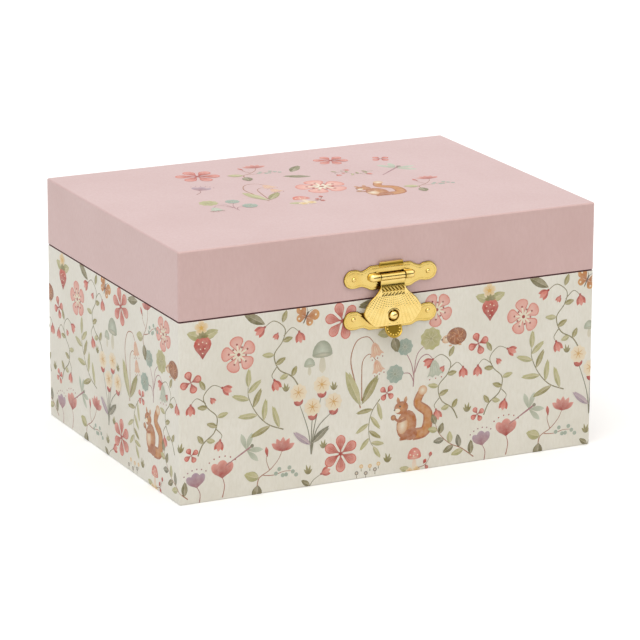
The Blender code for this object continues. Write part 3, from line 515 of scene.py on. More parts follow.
class Print:
    """Flat painted shapes drawn in layers, each a film a few microns above the one before."""

    FILM = 0.003

    def __init__(self):
        self.points, self.tints, self.faces = [], [], []
        self.at(0, 0)

    def at(self, x, y, turn=0.0, size=1.0, flip=1):
        """Moves the pen: what follows is drawn about this place, turned, scaled and maybe mirrored."""
        self.origin, self.turn, self.size, self.flip, self.layer = (x, y), turn, size, flip, 1

    def point(self, x, y, colour):
        u, v = turned_point(x * self.flip * self.size, y * self.size, self.turn)
        self.points.append((self.origin[0] + u, self.origin[1] + v, self.layer * self.FILM))
        self.tints.append(colour)
        return len(self.points) - 1

    def fan(self, hub, rim, inner, outer):
        """A shape seen whole from its hub; outer is one colour, or one for each rim point."""
        colours = outer if isinstance(outer, list) else [outer] * len(rim)
        middle = self.point(*hub, inner)
        ring = [self.point(x, y, colour) for (x, y), colour in zip(rim, colours)]
        self.faces += [(middle, a, b) for a, b in zip(ring, ring[1:] + ring[:1])]
        self.layer += 1

    def disc(self, x, y, r, inner, outer=None, squash=1.0, turn=0.0, lobes=0, steps=14):
        """A round, oval or scalloped spot."""
        rim = []
        for i in range(steps):
            a = 2 * math.pi * i / steps
            reach = r * (1 + 0.07 * math.cos(lobes * a)) if lobes else r
            u, v = turned_point(reach * math.cos(a), reach * squash * math.sin(a), turn)
            rim.append((x + u, y + v))
        self.fan((x, y), rim, inner, outer or inner)

    def stroke(self, path, width, colour, tip=0.5):
        """A brush line that narrows to tip times its width."""
        pairs = []
        last = len(path) - 1
        for i, (x, y) in enumerate(path):
            (ax, ay), (bx, by) = path[max(i - 1, 0)], path[min(i + 1, last)]
            length = math.hypot(bx - ax, by - ay) or 1.0
            half = width / 2 * (1 + (tip - 1) * i / last) / length
            across = (-(by - ay) * half, (bx - ax) * half)
            pairs.append((self.point(x + across[0], y + across[1], colour),
                          self.point(x - across[0], y - across[1], colour)))
        self.faces += [(a, b, d, c) for (a, b), (c, d) in zip(pairs, pairs[1:])]
        self.layer += 1

    def blade(self, x, y, length, width, turn, root, tip, fullness=1.0, steps=7):
        """A petal or leaf from its foot; a fullness above 1.3 gives it a broad round end."""
        blunt = fullness > 1.3
        shares = [math.sin(math.pi / 2 * i / steps) if blunt else i / steps for i in range(steps + 1)]
        side = []
        for t in shares:
            along = t ** fullness
            sharpness = 0.5 if blunt and along > 0.5 else 0.9
            half = width / 2 * abs(math.sin(math.pi * along)) ** sharpness
            side.append((half, length * t, mix(root, tip, t)))
        outline = side + [(-w, h, colour) for w, h, colour in side[-2:0:-1]]
        rim = []
        for across, along, _ in outline:
            u, v = turned_point(across, along, turn)
            rim.append((x + u, y + v))
        hub = turned_point(0, length * 0.5 ** (1 / fullness), turn)
        self.fan((x + hub[0], y + hub[1]), rim, mix(root, tip, 0.45), [colour for _, _, colour in outline])

    def leaf(self, x, y, length, width, turn, colour, fullness=0.9):
        """A leaf with a shaded half and a pale rib."""
        dark = mix(colour, (0, 0, 0), 0.25)
        self.blade(x, y, length, width, turn, dark, colour, fullness)
        u, v = turned_point(width * 0.12, length * 0.06, turn)
        pale = mix(colour, CREAM, 0.25)
        self.blade(x + u, y + v, length * 0.88, width * 0.5, turn - 3, pale, colour, fullness)
        end = turned_point(0, length * 0.86, turn)
        self.stroke([(x, y), (x + end[0], y + end[1])], 0.25, mix(colour, CREAM, 0.45))


def star_flower(ink):
    """Separate round petals, red at the heart, with fine veins."""
    r, petals, width = 7.6, 6, 0.56
    for i in range(petals):
        turn = 360 / petals * i
        ink.blade(0, 0, r, r * width, turn, mix(DEEP_RED, CORAL, 0.3), CORAL, 1.9)
        foot = turned_point(0, r * 0.1, turn)
        ink.blade(*foot, r * 0.85, r * width * 0.84, turn, mix(DEEP_RED, CORAL, 0.55), ROSE, 1.9)
        for lean in (-10, 0, 10):
            end = turned_point(0, r * 0.72, turn + lean)
            ink.stroke([turned_point(0, r * 0.08, turn), end], 0.34, mix(DEEP_RED, CORAL, 0.4), 0.2)
    ink.disc(0, 0, r * 0.12, DEEP_RED, mix(DEEP_RED, CORAL, 0.3), steps=8)


def dotted_blossom(ink):
    """Five broad petals with a white star and red dots."""
    r = 7.4
    for i in range(5):
        turn = 72 * i
        ink.blade(0, 0, r, r * 0.8, turn, CORAL, mix(ROSE, CORAL, 0.4), 2.0)
        ink.blade(*turned_point(0, r * 0.1, turn), r * 0.84, r * 0.66, turn, BLUSH, ROSE, 2.0)
    for i in range(10):
        turn = 36 * i
        reach = r * (0.42 if i % 2 else 0.56)
        ink.stroke([(0, 0), turned_point(0, reach, turn)], 0.9, CREAM, 0.7)
        ink.disc(*turned_point(0, reach, turn), 0.45, DEEP_RED, steps=6)
    ink.disc(0, 0, r * 0.1, DEEP_RED, steps=7)


def small_flower(ink):
    r = 4.6
    for i in range(4):
        turn = 90 * i + 20
        ink.blade(0, 0, r, r * 0.7, turn, DEEP_RED, CORAL, 1.8)
        ink.blade(*turned_point(0, r * 0.3, turn), r * 0.6, r * 0.45, turn, CORAL, ROSE, 1.8)
        ink.stroke([(0, 0), turned_point(0, r * 0.65, turn)], 0.34, DEEP_RED, 0.2)


def bud(ink, x, y, turn, size=1.0):
    """A hanging red bud between two darker sepals."""
    for lean in (-24, 24):
        ink.blade(x, y, 4.6 * size, 2.0 * size, turn + lean, DEEP_RED, CORAL, 1.1)
    ink.blade(x, y, 4.8 * size, 2.2 * size, turn, CORAL, ROSE, 1.2)
    ink.disc(x, y, 0.55 * size, DEEP_RED, steps=6)


def vine(ink):
    """A curling stem with red buds and small leaves."""
    stem = curve((7.5, -14), (4.5, -9.5), (-1, -6), (-3, 0), (0.5, 5), (1.5, 10), (-3, 13.5), (-7, 11.5))
    ink.stroke(stem, 0.55, MOSS)
    ink.stroke(curve((1, 7), (4.5, 10), (7.5, 8)), 0.4, MOSS)
    ink.stroke(curve((-2, -5), (-4, -8), (-3, -10)), 0.4, MOSS)
    for x, y, turn in ((-7, 11.5, 125), (7.5, 8, 190), (-3, -10, 200)):
        bud(ink, x, y, turn)
    bud(ink, -1.5, 8.5, 150, 0.6)
    leaves = ((-3, 0, 85, 5.2), (-2.5, -4, -60, 5), (0.5, 5, -75, 4.5), (0.5, 12.5, -20, 5),
              (4.5, -9.5, -25, 4.5), (3, -8.5, 110, 4))
    for x, y, turn, length in leaves:
        ink.leaf(x, y, length, 2.2, turn, SAGE if turn > 0 else OLIVE)


def bell(ink, x, y, turn, size, body, trim):
    """A hanging bell with a scalloped mouth."""
    def hung(u, v):
        across, along = turned_point(u * size, v * size, turn)
        return x + across, y + along

    side = [(0.5, 0), (1.5, -1.4), (1.9, -3.4), (3.1, -5.2), (2.0, -4.9), (1.1, -5.7)]
    outline = [(-u, v) for u, v in side] + [(0, -5.0)] + side[::-1]
    ink.fan(hung(0, -2.5), [hung(u, v) for u, v in outline], body, mix(body, trim, 0.5))
    for u in (-1.1, 0, 1.1):
        ink.stroke([hung(u * 0.4, -0.8), hung(u, -4.4)], 0.22, trim)
    for u in (-2.2, 0, 2.2):
        ink.disc(*hung(u, -6.2), 0.3, DEEP_RED, steps=6)


def bellflower(ink):
    """Two arched stems with cream bells over two long leaves."""
    ink.stroke(curve((0, -16), (-2.5, -5), (-4.5, 5), (-2, 12.5), (3, 14), (6, 11)), 0.6, TWIG)
    ink.stroke(curve((0.6, -13), (0.5, -2), (1, 4), (4, 6.5), (7, 3.5)), 0.5, TWIG)
    for x, y, size in ((6, 11, 1.1), (7, 3.5, 1.0)):
        bell(ink, x, y, 14, size, mix(CREAM, TAN, 0.35), mix(TAN, CORAL, 0.6))
    ink.leaf(0, -15, 17, 4.4, 24, SAGE, 1.0)
    ink.leaf(0.5, -14.5, 14, 4.0, -32, OLIVE, 1.0)


def leafy(ink, path, count, length, width, colours, stem):
    """Leaves along a stem, one side then the other, and one at its tip."""
    ink.stroke(path, 0.5, stem)
    for i in range(count):
        k = 2 + round((len(path) - 4) * i / count)
        (ax, ay), (bx, by) = path[k - 1], path[k + 1]
        along = math.degrees(math.atan2(by - ay, bx - ax)) - 90
        side = 52 if i % 2 else -52
        ink.leaf(*path[k], length * (1.05 - 0.3 * i / count), width, along + side, colours[i % len(colours)])
    (ax, ay), (bx, by) = path[-2], path[-1]
    ink.leaf(bx, by, length * 0.8, width, math.degrees(math.atan2(by - ay, bx - ax)) - 90, colours[0])


def sprig(ink):
    leafy(ink, curve((9, -12), (3, -8), (-1, -2), (-3, 5), (-2.5, 9)), 7, 9.4, 2.4, (SAGE, OLIVE, SAGE), MOSS)


def branch(ink):
    line = curve((9, -12), (4, -6), (-1, -2), (-5, 4), (-6, 9))
    leafy(ink, line, 8, 6.4, 2.9, (MOSS, SAGE, DARK_LEAF), TWIG)


def pompoms(ink):
    """Frilled cream heads in red cups, with grey and lilac leaves."""
    for x, y in ((-5.5, 9), (4.5, 11), (0.5, 2.5), (9.5, 3.5)):
        ink.stroke(curve((0, -15), (x * 0.25, -5), (x, y - 2)), 0.5, DARK_LEAF)
        ink.disc(x, y - 1.9, 2.0, CORAL, DEEP_RED, squash=0.95, steps=12)
        ink.disc(x, y + 1.5, 3.5, mix(CREAM, BUTTER, 0.4), mix(CREAM, BUTTER, 0.08), lobes=9, steps=36)
        for i in range(7):
            end = turned_point(0, 2.3, 51 * i)
            ink.stroke([(x, y + 1.7), (x + end[0], y + 1.7 + end[1])], 0.34, mix(BUTTER, RUST, 0.25), 0.4)
    ink.leaf(-0.3, -11, 9.5, 2.6, 52, LILAC)
    ink.leaf(0.3, -10.5, 9.5, 2.8, -50, DARK_LEAF)


def mushroom(ink, x, y, size, cap, shade, stalk):
    ink.blade(x, y - 6.2 * size, 7.2 * size, 2.4 * size, 0, stalk, mix(stalk, shade, 0.3), 0.6)
    rim = [(x + 3.6 * size * math.cos(math.radians(a)), y + 4.8 * size * math.sin(math.radians(a)))
           for a in range(0, 181, 20)]
    ink.fan((x, y + 1.5 * size), rim + [(x, y - 0.9 * size)], cap, shade)
    ink.disc(x, y - 0.1 * size, 3.5 * size, mix(stalk, shade, 0.4), shade, squash=0.24, steps=12)


def pale_mushrooms(ink):
    mushroom(ink, 1.5, 1.5, 1.2, PALE_GREEN, mix(GREY_GREEN, DARK_LEAF, 0.3), mix(CREAM, GREY_GREEN, 0.3))
    mushroom(ink, -4.0, -2.2, 0.65, PALE_GREEN, GREY_GREEN, mix(CREAM, GREY_GREEN, 0.3))


def red_mushroom(ink):
    """A dotted red cap among leaves, berries and small white flowers."""
    ink.leaf(-1, -4, 6.5, 3.4, 72, SAGE)
    mushroom(ink, 1, 2.5, 1.05, ROSE, CORAL, CREAM)
    for u, v in ((-1.2, 4), (1.2, 5.5), (2.8, 3.6), (0.6, 3.3)):
        ink.disc(u, v, 0.42, CREAM, steps=6)
    for x, y in ((-1.5, -4.5), (2.2, -4.2)):
        for i in range(5):
            ink.blade(x, y, 2.3, 1.9, 72 * i, BUTTER, CREAM, 1.6)
        ink.disc(x, y, 0.5, BUTTER, steps=6)
    ink.stroke(curve((3, -3), (7, -2), (9.5, 1.5)), 0.35, TWIG)
    for x, y, turn in ((7, -2, -150), (9.5, 1.5, -15), (6, -1.5, -30)):
        ink.blade(x, y, 2.8, 1.9, turn, DEEP_RED, CORAL, 1.2)


def round_leaf(ink, x, y, r, colour):
    ink.disc(x, y, r, mix(colour, MOSS, 0.35), colour, lobes=9, steps=36)
    for i in range(9):
        end = turned_point(0, r * 0.8, 40 * i + 20)
        ink.stroke([(x, y), (x + end[0], y + end[1])], 0.22, mix(colour, CREAM, 0.4), 0.3)
    ink.disc(x, y, r * 0.12, mix(colour, MOSS, 0.6), steps=6)


def round_leaves(ink):
    """Round leaves and a pale bell on curving mauve stems."""
    for path in (((0, -11), (0.5, -4), (2, 3), (7, 7)), ((0.3, -7), (-1, -1), (-3.5, 4)),
                 ((0.2, -9), (-2, -5), (-7.5, -5)), ((0.6, -5), (3, 0.5), (6.5, 2), (9.5, -1))):
        ink.stroke(curve(*path), 0.5, MAUVE)
    round_leaf(ink, 8, 8.5, 4.7, SAGE)
    round_leaf(ink, -4, 6.5, 3.5, BLUE_GREEN)
    round_leaf(ink, -8.5, -4.5, 3.8, BLUE_GREEN)
    bell(ink, 9.5, -1, 6, 1.25, PALE_GREEN, GREY_GREEN)


def berry_sprig(ink):
    """A half-open daisy over blue-green berries and two round leaves."""
    ink.stroke(curve((-6, -9), (-5, -4), (0, -1), (4, 3), (6, 7)), 0.5, TWIG)
    ink.stroke(curve((-3, -3), (2, -3.5), (7, -2.5), (12, -3)), 0.4, TWIG)
    for lean in (-62, -32, -4, 24, 50):
        ink.blade(6, 6.5, 6.6, 2.5, lean, DEEP_RED, ROSE, 1.3)
    ink.stroke(curve((0, -1), (-1.5, 3.5), (-1, 7)), 0.35, TWIG)
    ink.blade(-1, 5, 4.8, 1.6, 8, DEEP_RED, CORAL, 1.2)
    for i in range(7):
        x, y = 3 + 1.6 * i, -3 + 1.9 * math.sin(1.9 * i)
        ink.disc(x, y, 0.95, GREY_GREEN, BLUE_GREEN, steps=9)
    ink.leaf(-5, -4, 7.5, 4.6, 70, SAGE)
    ink.leaf(-5.5, -7, 7.5, 4.8, 170, MOSS)


def cup_flower(ink, body, trim, size=1.0):
    """A frilled cup on a short stem, with dotted stamens."""
    ink.stroke(curve((0, -9 * size), (1, -4 * size), (0, 0)), 0.5, mix(trim, TWIG, 0.5))
    for lean, wide in ((-34, 4.0), (34, 4.0), (0, 5.2)):
        ink.blade(0, -0.5 * size, 8.2 * size, wide * size, lean, trim, body, 1.5)
    for i in range(6):
        x, y = turned_point(0, 9.4 * size, 40 - 16 * i)
        ink.disc(x, y, 0.36, trim, steps=6)


def tulip(ink):
    cup_flower(ink, ROSE, DEEP_RED)


def lilac_cup(ink):
    cup_flower(ink, LILAC, MAUVE, 0.85)


def dragonfly(ink):
    for turn in (-35, -75, 40, 78):
        ink.blade(0, 1, 7.2, 2.2, turn, GREY_GREEN, PALE_GREEN, 1.3)
    ink.stroke([(0, 3.5), (0, -9)], 0.8, MAUVE, 0.35)
    ink.disc(0, 3.8, 0.8, DARK_LEAF, steps=8)


def butterfly(ink):
    for turn, length in ((-58, 6.4), (58, 6.4), (-122, 4.6), (122, 4.6)):
        ink.blade(0, 0, length, length * 0.75, turn, RUST, ORANGE, 1.6)
        ink.disc(*turned_point(0, length * 0.72, turn), 0.5, CREAM, steps=7)
    ink.stroke([(0, 2.4), (0, -3)], 0.8, INK_DARK)
    for lean in (-22, 22):
        ink.stroke([(0, 2.2), turned_point(0, 4.6, lean)], 0.22, INK_DARK)


def strawberry(ink):
    for turn in (-70, 70):
        ink.leaf(0, 2.5, 7, 3.8, turn, SAGE)
    for i in range(5):
        ink.blade(-0.5, 6.5, 3.0, 2.5, 72 * i, BUTTER, CREAM, 1.6)
    ink.disc(-0.5, 6.5, 0.8, BUTTER, steps=7)
    ink.blade(0, -6, 9.2, 7.4, 0, DEEP_RED, CORAL, 1.45)
    for u, v in ((-1.6, 0.2), (0, 0.8), (1.6, 0.2), (-0.9, -1.8), (0.9, -1.8), (0, -3.6)):
        ink.disc(u, v, 0.3, CREAM, steps=6)
    for turn in (-75, -38, 0, 38, 75):
        ink.blade(0, 2.6, 2.6, 1.2, turn, MOSS, OLIVE)


def bud_pair(ink):
    """A short stem with one bud and one leaf."""
    ink.stroke(curve((-2, -5), (0, -1.5), (4, 1)), 0.4, MOSS)
    bud(ink, 4, 1, -70)
    ink.leaf(-1.4, -3.5, 5.0, 2.4, 55, MOSS)


def grass(ink):
    for lean, length in ((-40, 2.8), (-15, 3.8), (12, 4.2), (38, 3.0)):
        ink.blade(0, -2, length, 1.0, lean, MOSS, OLIVE, 0.8)


def seeds(ink):
    for i, (x, y) in enumerate(((-4, -1), (-2, 1.5), (0, -1.5), (1.8, 1.2), (4, -0.5), (5.5, 1.6))):
        ink.stroke([(x, y - 2), (x, y)], 0.3, MOSS)
        ink.disc(x, y, 0.85, CREAM, BUTTER if i % 2 else INK_DARK, steps=8)


def big_leaf(ink):
    ink.leaf(0, -6, 13, 4.6, 0, MOSS, 1.0)


def hedgehog(ink):
    """A plump hedgehog seen from the side."""
    ink.disc(-4.4, -0.6, 2.6, CREAM, TAN, squash=0.75, turn=12, steps=12)
    ink.disc(0.8, 0.3, 5.2, RUST, mix(RUST, INK_DARK, 0.35), squash=0.8, steps=18)
    for i in range(26):
        x, y = turned_point(1.2 + 0.9 * (i % 4), 0, 13.8 * i)
        end = turned_point(1.5, 0, 13.8 * i + 20)
        ink.stroke([(x + 0.8, y * 0.8 + 0.3), (x + 0.8 + end[0], y * 0.8 + 0.3 + end[1])], 0.3, TAN, 0.2)
    ink.disc(-3.4, 1.4, 0.8, TAN, RUST, steps=8)
    ink.disc(-6.9, -0.6, 0.45, INK_DARK, steps=6)
    ink.disc(-4.9, 0.2, 0.3, INK_DARK, steps=6)
    for x in (-2.5, 2.5):
        ink.disc(x, -3.8, 0.9, TAN, squash=0.5, steps=7)


def squirrel(ink):
    """A squirrel sitting up with a round tail."""
    tail = curve((3.0, -8), (8.5, -7), (9.5, 0), (5.0, 4.5), (7.0, 9.5))
    for width, colour in ((5.0, RUST), (3.4, mix(RUST, ORANGE, 0.5))):
        ink.stroke(tail, width, colour, 0.65)
    ink.disc(7.2, 9.6, 2.0, CREAM, TAN, steps=12)
    ink.disc(0.2, -3.6, 4.4, mix(RUST, ORANGE, 0.6), RUST, squash=1.35, turn=-10, steps=16)
    ink.disc(-1.6, -3.8, 2.3, CREAM, TAN, squash=1.5, turn=-8, steps=14)
    ink.disc(2.0, -7.8, 3.0, RUST, squash=0.8, steps=12)
    for x, turn in ((-3.2, 12), (-0.6, -12)):
        ink.blade(x, 5.2, 3.0, 1.5, turn, RUST, TAN, 0.9)
    ink.disc(-2.2, 3.6, 3.1, mix(RUST, ORANGE, 0.6), RUST, squash=0.85, turn=10, steps=16)
    ink.disc(-3.9, 2.6, 1.3, CREAM, squash=0.7, steps=9)
    ink.disc(-2.7, 4.2, 0.42, INK_DARK, steps=7)
    ink.disc(-5.1, 3.0, 0.4, INK_DARK, steps=6)
    ink.stroke(curve((0, -1), (-3, -1.8), (-5, -0.4)), 1.3, RUST, 0.7)
    ink.disc(-5.6, 0, 1.2, TAN, TWIG, steps=9)
    ink.stroke([(-2.8, -9.3), (1.5, -9.3)], 1.1, RUST, 0.8)


# One repeat of the meadow, as (drawing, x, height), then its turn, size and flip where they differ from
# 0, 1 and 1.
MEADOW = (
    (strawberry, 9, 63), (small_flower, 4, 48.5), (dotted_blossom, 24, 57, 10), (vine, 42, 55),
    (butterfly, 52.5, 68.5, -25, 0.9), (star_flower, 68, 65, 15), (pale_mushrooms, 58, 51),
    (bellflower, 76, 44, 0, 0.95), (berry_sprig, 92, 63, 25, 0.85), (dotted_blossom, 109, 64.5, 30, 0.95),
    (hedgehog, 117.3, 52.5, 0, 0.85), (round_leaves, 99, 45, 0, 0.95), (vine, 12, 33, 8, 0.95, -1),
    (sprig, 32, 35, 10), (pompoms, 54.8, 28), (sprig, 81, 20, -160, 0.8, -1), (squirrel, 96, 23),
    (vine, 113, 33, -6, 0.95), (dragonfly, 26.3, 18, -60), (tulip, 17, 9, 0, 0.9),
    (lilac_cup, 6.3, 6.5, 8, 0.9), (berry_sprig, 37, 10, 0, 0.9), (star_flower, 67.5, 11.5),
    (branch, 116, 11, 12, 0.9), (red_mushroom, 99, 3.5, 0, 0.8), (grass, 53.5, 7),
    (grass, 60, 16.5, 0, 0.9, -1), (grass, 88, 7), (grass, 123, 23, 0, 1.0, -1), (grass, 44, 41.5, 0, 0.9),
    (seeds, 78.5, 3.5), (small_flower, 87.5, 33.5, 30, 0.75), (grass, 64.5, 39.5, 0, 0.9),
    (big_leaf, 31, 70, 60, 0.8), (bud_pair, 55.5, 3.5, 0, 0.9), (big_leaf, 80, 70.5, 100, 0.75),
    (small_flower, 4, 19.5, 10, 0.7),
)

# The group on the lid's top, in the same form, about the middle of the lid.
POSY = (
    (star_flower, -34, 41, 10, 1.2), (berry_sprig, -12, 38, 0, 0.9), (big_leaf, 7, 36, -40, 0.9),
    (star_flower, 27, 43, 5, 0.95), (small_flower, 47, 37, 0, 0.9), (lilac_cup, -43, 19, -35, 0.9),
    (bellflower, -23, 7, -8, 0.95), (big_leaf, 3, 24, 65, 0.9), (dotted_blossom, 4, 4.5, 0, 1.45),
    (dragonfly, 44, 19, -50, 1.3), (round_leaves, -42, -8, 0, 0.8, -1), (red_mushroom, -13, -13, 0, 0.95),
    (squirrel, 20, -9, 0, 1.05), (berry_sprig, 44, -8, 0, 0.85), (vine, 26, 20, 60, 0.55),
)


DRAWING_REACH = 40  # no drawing stands out further than this past the ends of the sheet


class Wrap:
    """Lays a flat sheet round the base: s runs round the walls from the front's left, v runs up them."""

    def __init__(self):
        self.low, self.high = CASE_LOW.z + FOOT_R, CASE_HIGH.z - RIM_R
        self.sides = [2 * (HALF_X - CORNER_R), 2 * (HALF_Y - CORNER_R)] * 2
        self.bend = math.pi / 2 * CORNER_R
        self.round = sum(self.sides) + 4 * self.bend

    def cuts(self):
        """Where the sheet must be creased so that it follows the corners, the rim and the foot."""
        around, s, steps = [], 0.0, 5
        for side in self.sides:
            s += side
            around += [s + self.bend * i / steps for i in range(steps + 1)]
            s += self.bend
        around = [a + shift for a in around for shift in (-self.round, 0, self.round)]
        up = [self.high + math.pi / 2 * RIM_R * i / steps for i in range(steps)]
        up += [self.low - math.pi / 2 * FOOT_R * i / steps for i in range(steps)]
        return [a for a in around if -DRAWING_REACH < a < self.round + DRAWING_REACH], up

    def side_of(self, s):
        """Which wall a place belongs to, counting from the front: corners go to the nearer wall."""
        s %= self.round
        for i, side in enumerate(self.sides):
            if s < side + self.bend / 2:
                return i
            s -= side + self.bend
        return 0

    def place(self, s, v, height):
        """Where a point of the sheet goes, that far off the walls."""
        rise, r, sign, edge = 0.0, 0.0, 1, v
        if v > self.high:
            rise, r, edge = (v - self.high) / RIM_R, RIM_R, self.high
        elif v < self.low:
            rise, r, sign, edge = (self.low - v) / FOOT_R, FOOT_R, -1, self.low
        inset, z = r * (1 - math.cos(rise)), edge + sign * r * math.sin(rise)
        out, up = height * math.cos(rise), sign * height * math.sin(rise)
        x, y = self.plan(s % self.round, inset - out)
        return x, y, z + up

    def plan(self, s, inset):
        """The place in plan at s, that far inside the walls."""
        radius = CORNER_R - inset
        for i, side in enumerate(self.sides):
            turn = 90 * i
            half_run = side / 2
            across = (HALF_Y, HALF_X)[i % 2] - CORNER_R
            if s <= side:
                return turned_point(s - half_run, -across - radius, turn)
            s -= side
            if s <= self.bend:
                a = math.radians(-90 + 90 * s / self.bend)
                return turned_point(half_run + radius * math.cos(a), -across + radius * math.sin(a), turn)
            s -= self.bend
        return self.plan(0.0, inset)


def sheet(layout, repeats=1, pitch=0.0):
    """The layout's drawings as a flat mesh with their tints, every face turned up."""
    drawn = Print()
    for i in range(repeats):
        for drawing, x, y, *how in layout:
            drawn.at(x + pitch * i, y, *how)
            drawing(drawn)
    shape = bmesh.new()
    layer = shape.verts.layers.float_color.new("tint")
    verts = []
    for place, colour in zip(drawn.points, drawn.tints):
        vert = shape.verts.new(place)
        vert[layer] = (*colour, 1.0)
        verts.append(vert)
    for face in drawn.faces:
        a, b, c = (verts[i].co for i in face[:3])
        up = (b - a).cross(c - a).z
        if abs(up) > 1e-7:
            shape.faces.new([verts[i] for i in (face if up > 0 else face[::-1])])
    bmesh.ops.delete(shape, geom=[v for v in shape.verts if not v.link_faces], context="VERTS")
    return shape


def base_print():
    """The meadow repeated round the base, then parted wall by wall."""
    wrap = Wrap()
    repeats = 5
    whole = sheet(MEADOW, repeats, wrap.round / repeats)
    around, up = wrap.cuts()
    crease(whole, (1, 0, 0), around)
    crease(whole, (0, 1, 0), up)
    top, foot = wrap.high + math.pi / 2 * RIM_R, wrap.low - math.pi / 2 * FOOT_R
    beyond = [f for f in whole.faces if not foot - 1e-4 < f.calc_center_median().y < top + 1e-4]
    bmesh.ops.delete(whole, geom=beyond, context="FACES")
    for i, wall in enumerate(("front", "right", "back", "left")):
        shape = whole.copy()
        others = [f for f in shape.faces if wrap.side_of(f.calc_center_median().x) != i]
        bmesh.ops.delete(shape, geom=others, context="FACES")
        for vert in shape.verts:
            vert.co = wrap.place(*vert.co)
        attach(finished(f"{wall}_print", shape, INK), "base", "paper")
    whole.free()


def lid_print():
    shape = sheet(POSY)
    bmesh.ops.translate(shape, vec=(0, 0, LID_HIGH.z), verts=shape.verts)
    attach(finished("lid_print", shape, INK), "lid", "lid_paper")


# ---------------------------------------------------------------- stamped brass

PIN = centre("hasp_pin")
CLASP_X = PIN.x
PIN_OUT = FRONT - PIN.y
CATCH_Z, STUD_Z = centre("catch_nail_left").z, centre("catch_stud").z
STUD_DROP = STUD_Z - PIN.z
PLATE_FRONT, PLATE_BACK, PLATE_GRID = 0.75, 0.15, 0.34
NAIL_X, CATCH_NAIL_X = 16.0, 16.1
OUTWARD = (0, -1, 0)


def softened(points, reach):
    """A closed outline with its corners cut round, sampled evenly."""
    gap = 0.2
    for _ in range(3):
        cut = []
        for a, b in zip(points, points[1:] + points[:1]):
            share = min(0.25, reach / max(math.dist(a, b), 1e-6))
            cut += [mix(a, b, share), mix(a, b, 1 - share)]
        points, reach = cut, reach / 2
    even, left = [], 0.0
    for a, b in zip(points, points[1:] + points[:1]):
        length = math.dist(a, b)
        while left < length:
            even.append(mix(a, b, left / length))
            left += gap
        left -= length
    return even


def mirrored(half):
    return half + [(-x, z) for x, z in reversed(half)]


def within(x, z, loop):
    inside = False
    for (ax, az), (bx, bz) in zip(loop, loop[1:] + loop[:1]):
        if (az > z) != (bz > z) and x < ax + (bx - ax) * (z - az) / (bz - az):
            inside = not inside
    return inside


def extent(loop):
    """A loop's least and greatest x, then z."""
    across, up = zip(*loop)
    return min(across), max(across), min(up), max(up)


def hill(value, width):
    """1 at zero, falling away smoothly within about this width."""
    return math.exp(-(value / width) ** 2)


def clamped(value):
    """The value kept between 0 and 1."""
    return min(max(value, 0), 1)


def roll(edge, r):
    """How far a surface has fallen at this distance from an edge rounded by r."""
    return r - math.sqrt(max(r * r - (r - min(edge, r)) ** 2, 0))


def brass_object(name, shape, place):
    """A brass piece from a bmesh drawn about its place, shaded smooth but for its sharp edges."""
    bmesh.ops.recalc_face_normals(shape, faces=shape.faces[:])
    bmesh.ops.translate(shape, vec=place, verts=shape.verts[:])
    made = finished(name, shape, BRASS)
    made.data.shade_smooth()
    made.data.set_sharp_from_angle(angle=math.radians(50))
    return made


def stamped(name, outlines, front, back, z, grid):
    """A plate on the front of the box. front(x, z, edge) gives how far out its face is and how much patina and
    painted shade darken it;
    edge is the distance from the nearest outline. The outlines after the first are holes. The face gets
    points along its edges, in two rows inside them and, further in, on a grid of triangles."""
    samples, side_rows, grid_gap = 4, (0.07, 0.18), 0.26
    rim = KDTree(sum(len(loop) for loop in outlines) * samples)
    verts, edges = [], []
    for loop in outlines:
        start = len(verts)
        verts += loop
        edges += [(start + i, start + (i + 1) % len(loop)) for i in range(len(loop))]
        for a, b in zip(loop, loop[1:] + loop[:1]):
            for k in range(samples):
                rim.insert((*mix(a, b, k / samples), 0), start)
    rim.balance()
    for inset in side_rows:
        for a, b in (pair for loop in outlines for pair in zip(loop, loop[1:] + loop[:1])):
            (mx, mz), length = mix(a, b, 0.5), math.dist(a, b)
            for side in (-1, 1):
                push = side * inset / length
                place = (mx - push * (b[1] - a[1]), mz + push * (b[0] - a[0]))
                if rim.find((*place, 0))[2] > inset * 0.85:
                    verts.append(place)
    low_x, high_x, low_z, high_z = extent(outlines[0])
    for row in range(int((high_z - low_z) / grid / 0.87) + 1):
        for k in range(int((high_x - low_x) / grid) + 1):
            place = (low_x + (k + row % 2 / 2) * grid, low_z + row * grid * 0.87)
            if rim.find((*place, 0))[2] > grid_gap:
                verts.append(place)
    flat, _, faces, *_ = delaunay_2d_cdt([Vector(v) for v in verts], edges, [], 1, 1e-5)
    shape = bmesh.new()
    # Patina and painted shade, as a darkening for each point.
    shade_and_patina_layer = shape.verts.layers.float.new("patina_and_shade")
    made = []
    for x, up in flat:
        far, patina_and_shade = front(x, up, rim.find((x, up, 0))[2])
        vert = shape.verts.new((x, -far, up))
        vert[shade_and_patina_layer] = patina_and_shade
        made.append(vert)
    for face in faces:
        x, up = (sum(flat[i][axis] for i in face) / 3 for axis in (0, 1))
        if not any(within(x, up, loop) for loop in outlines[1:]):
            shape.faces.new([made[i] for i in face])
    bmesh.ops.delete(shape, geom=[v for v in shape.verts if not v.link_faces], context="VERTS")
    border = [e for e in shape.edges if len(e.link_faces) == 1]
    grown = bmesh.ops.extrude_edge_only(shape, edges=border)["geom"]
    for vert in (g for g in grown if isinstance(g, bmesh.types.BMVert)):
        vert.co.y = -back
    edges = (g for g in grown if isinstance(g, bmesh.types.BMEdge))
    rear = [edge for edge in edges if all(abs(v.co.y + back) < 1e-5 for v in edge.verts)]
    bmesh.ops.triangle_fill(shape, edges=rear, use_beauty=False, use_dissolve=False)
    return brass_object(name, shape, (CLASP_X, FRONT, z))


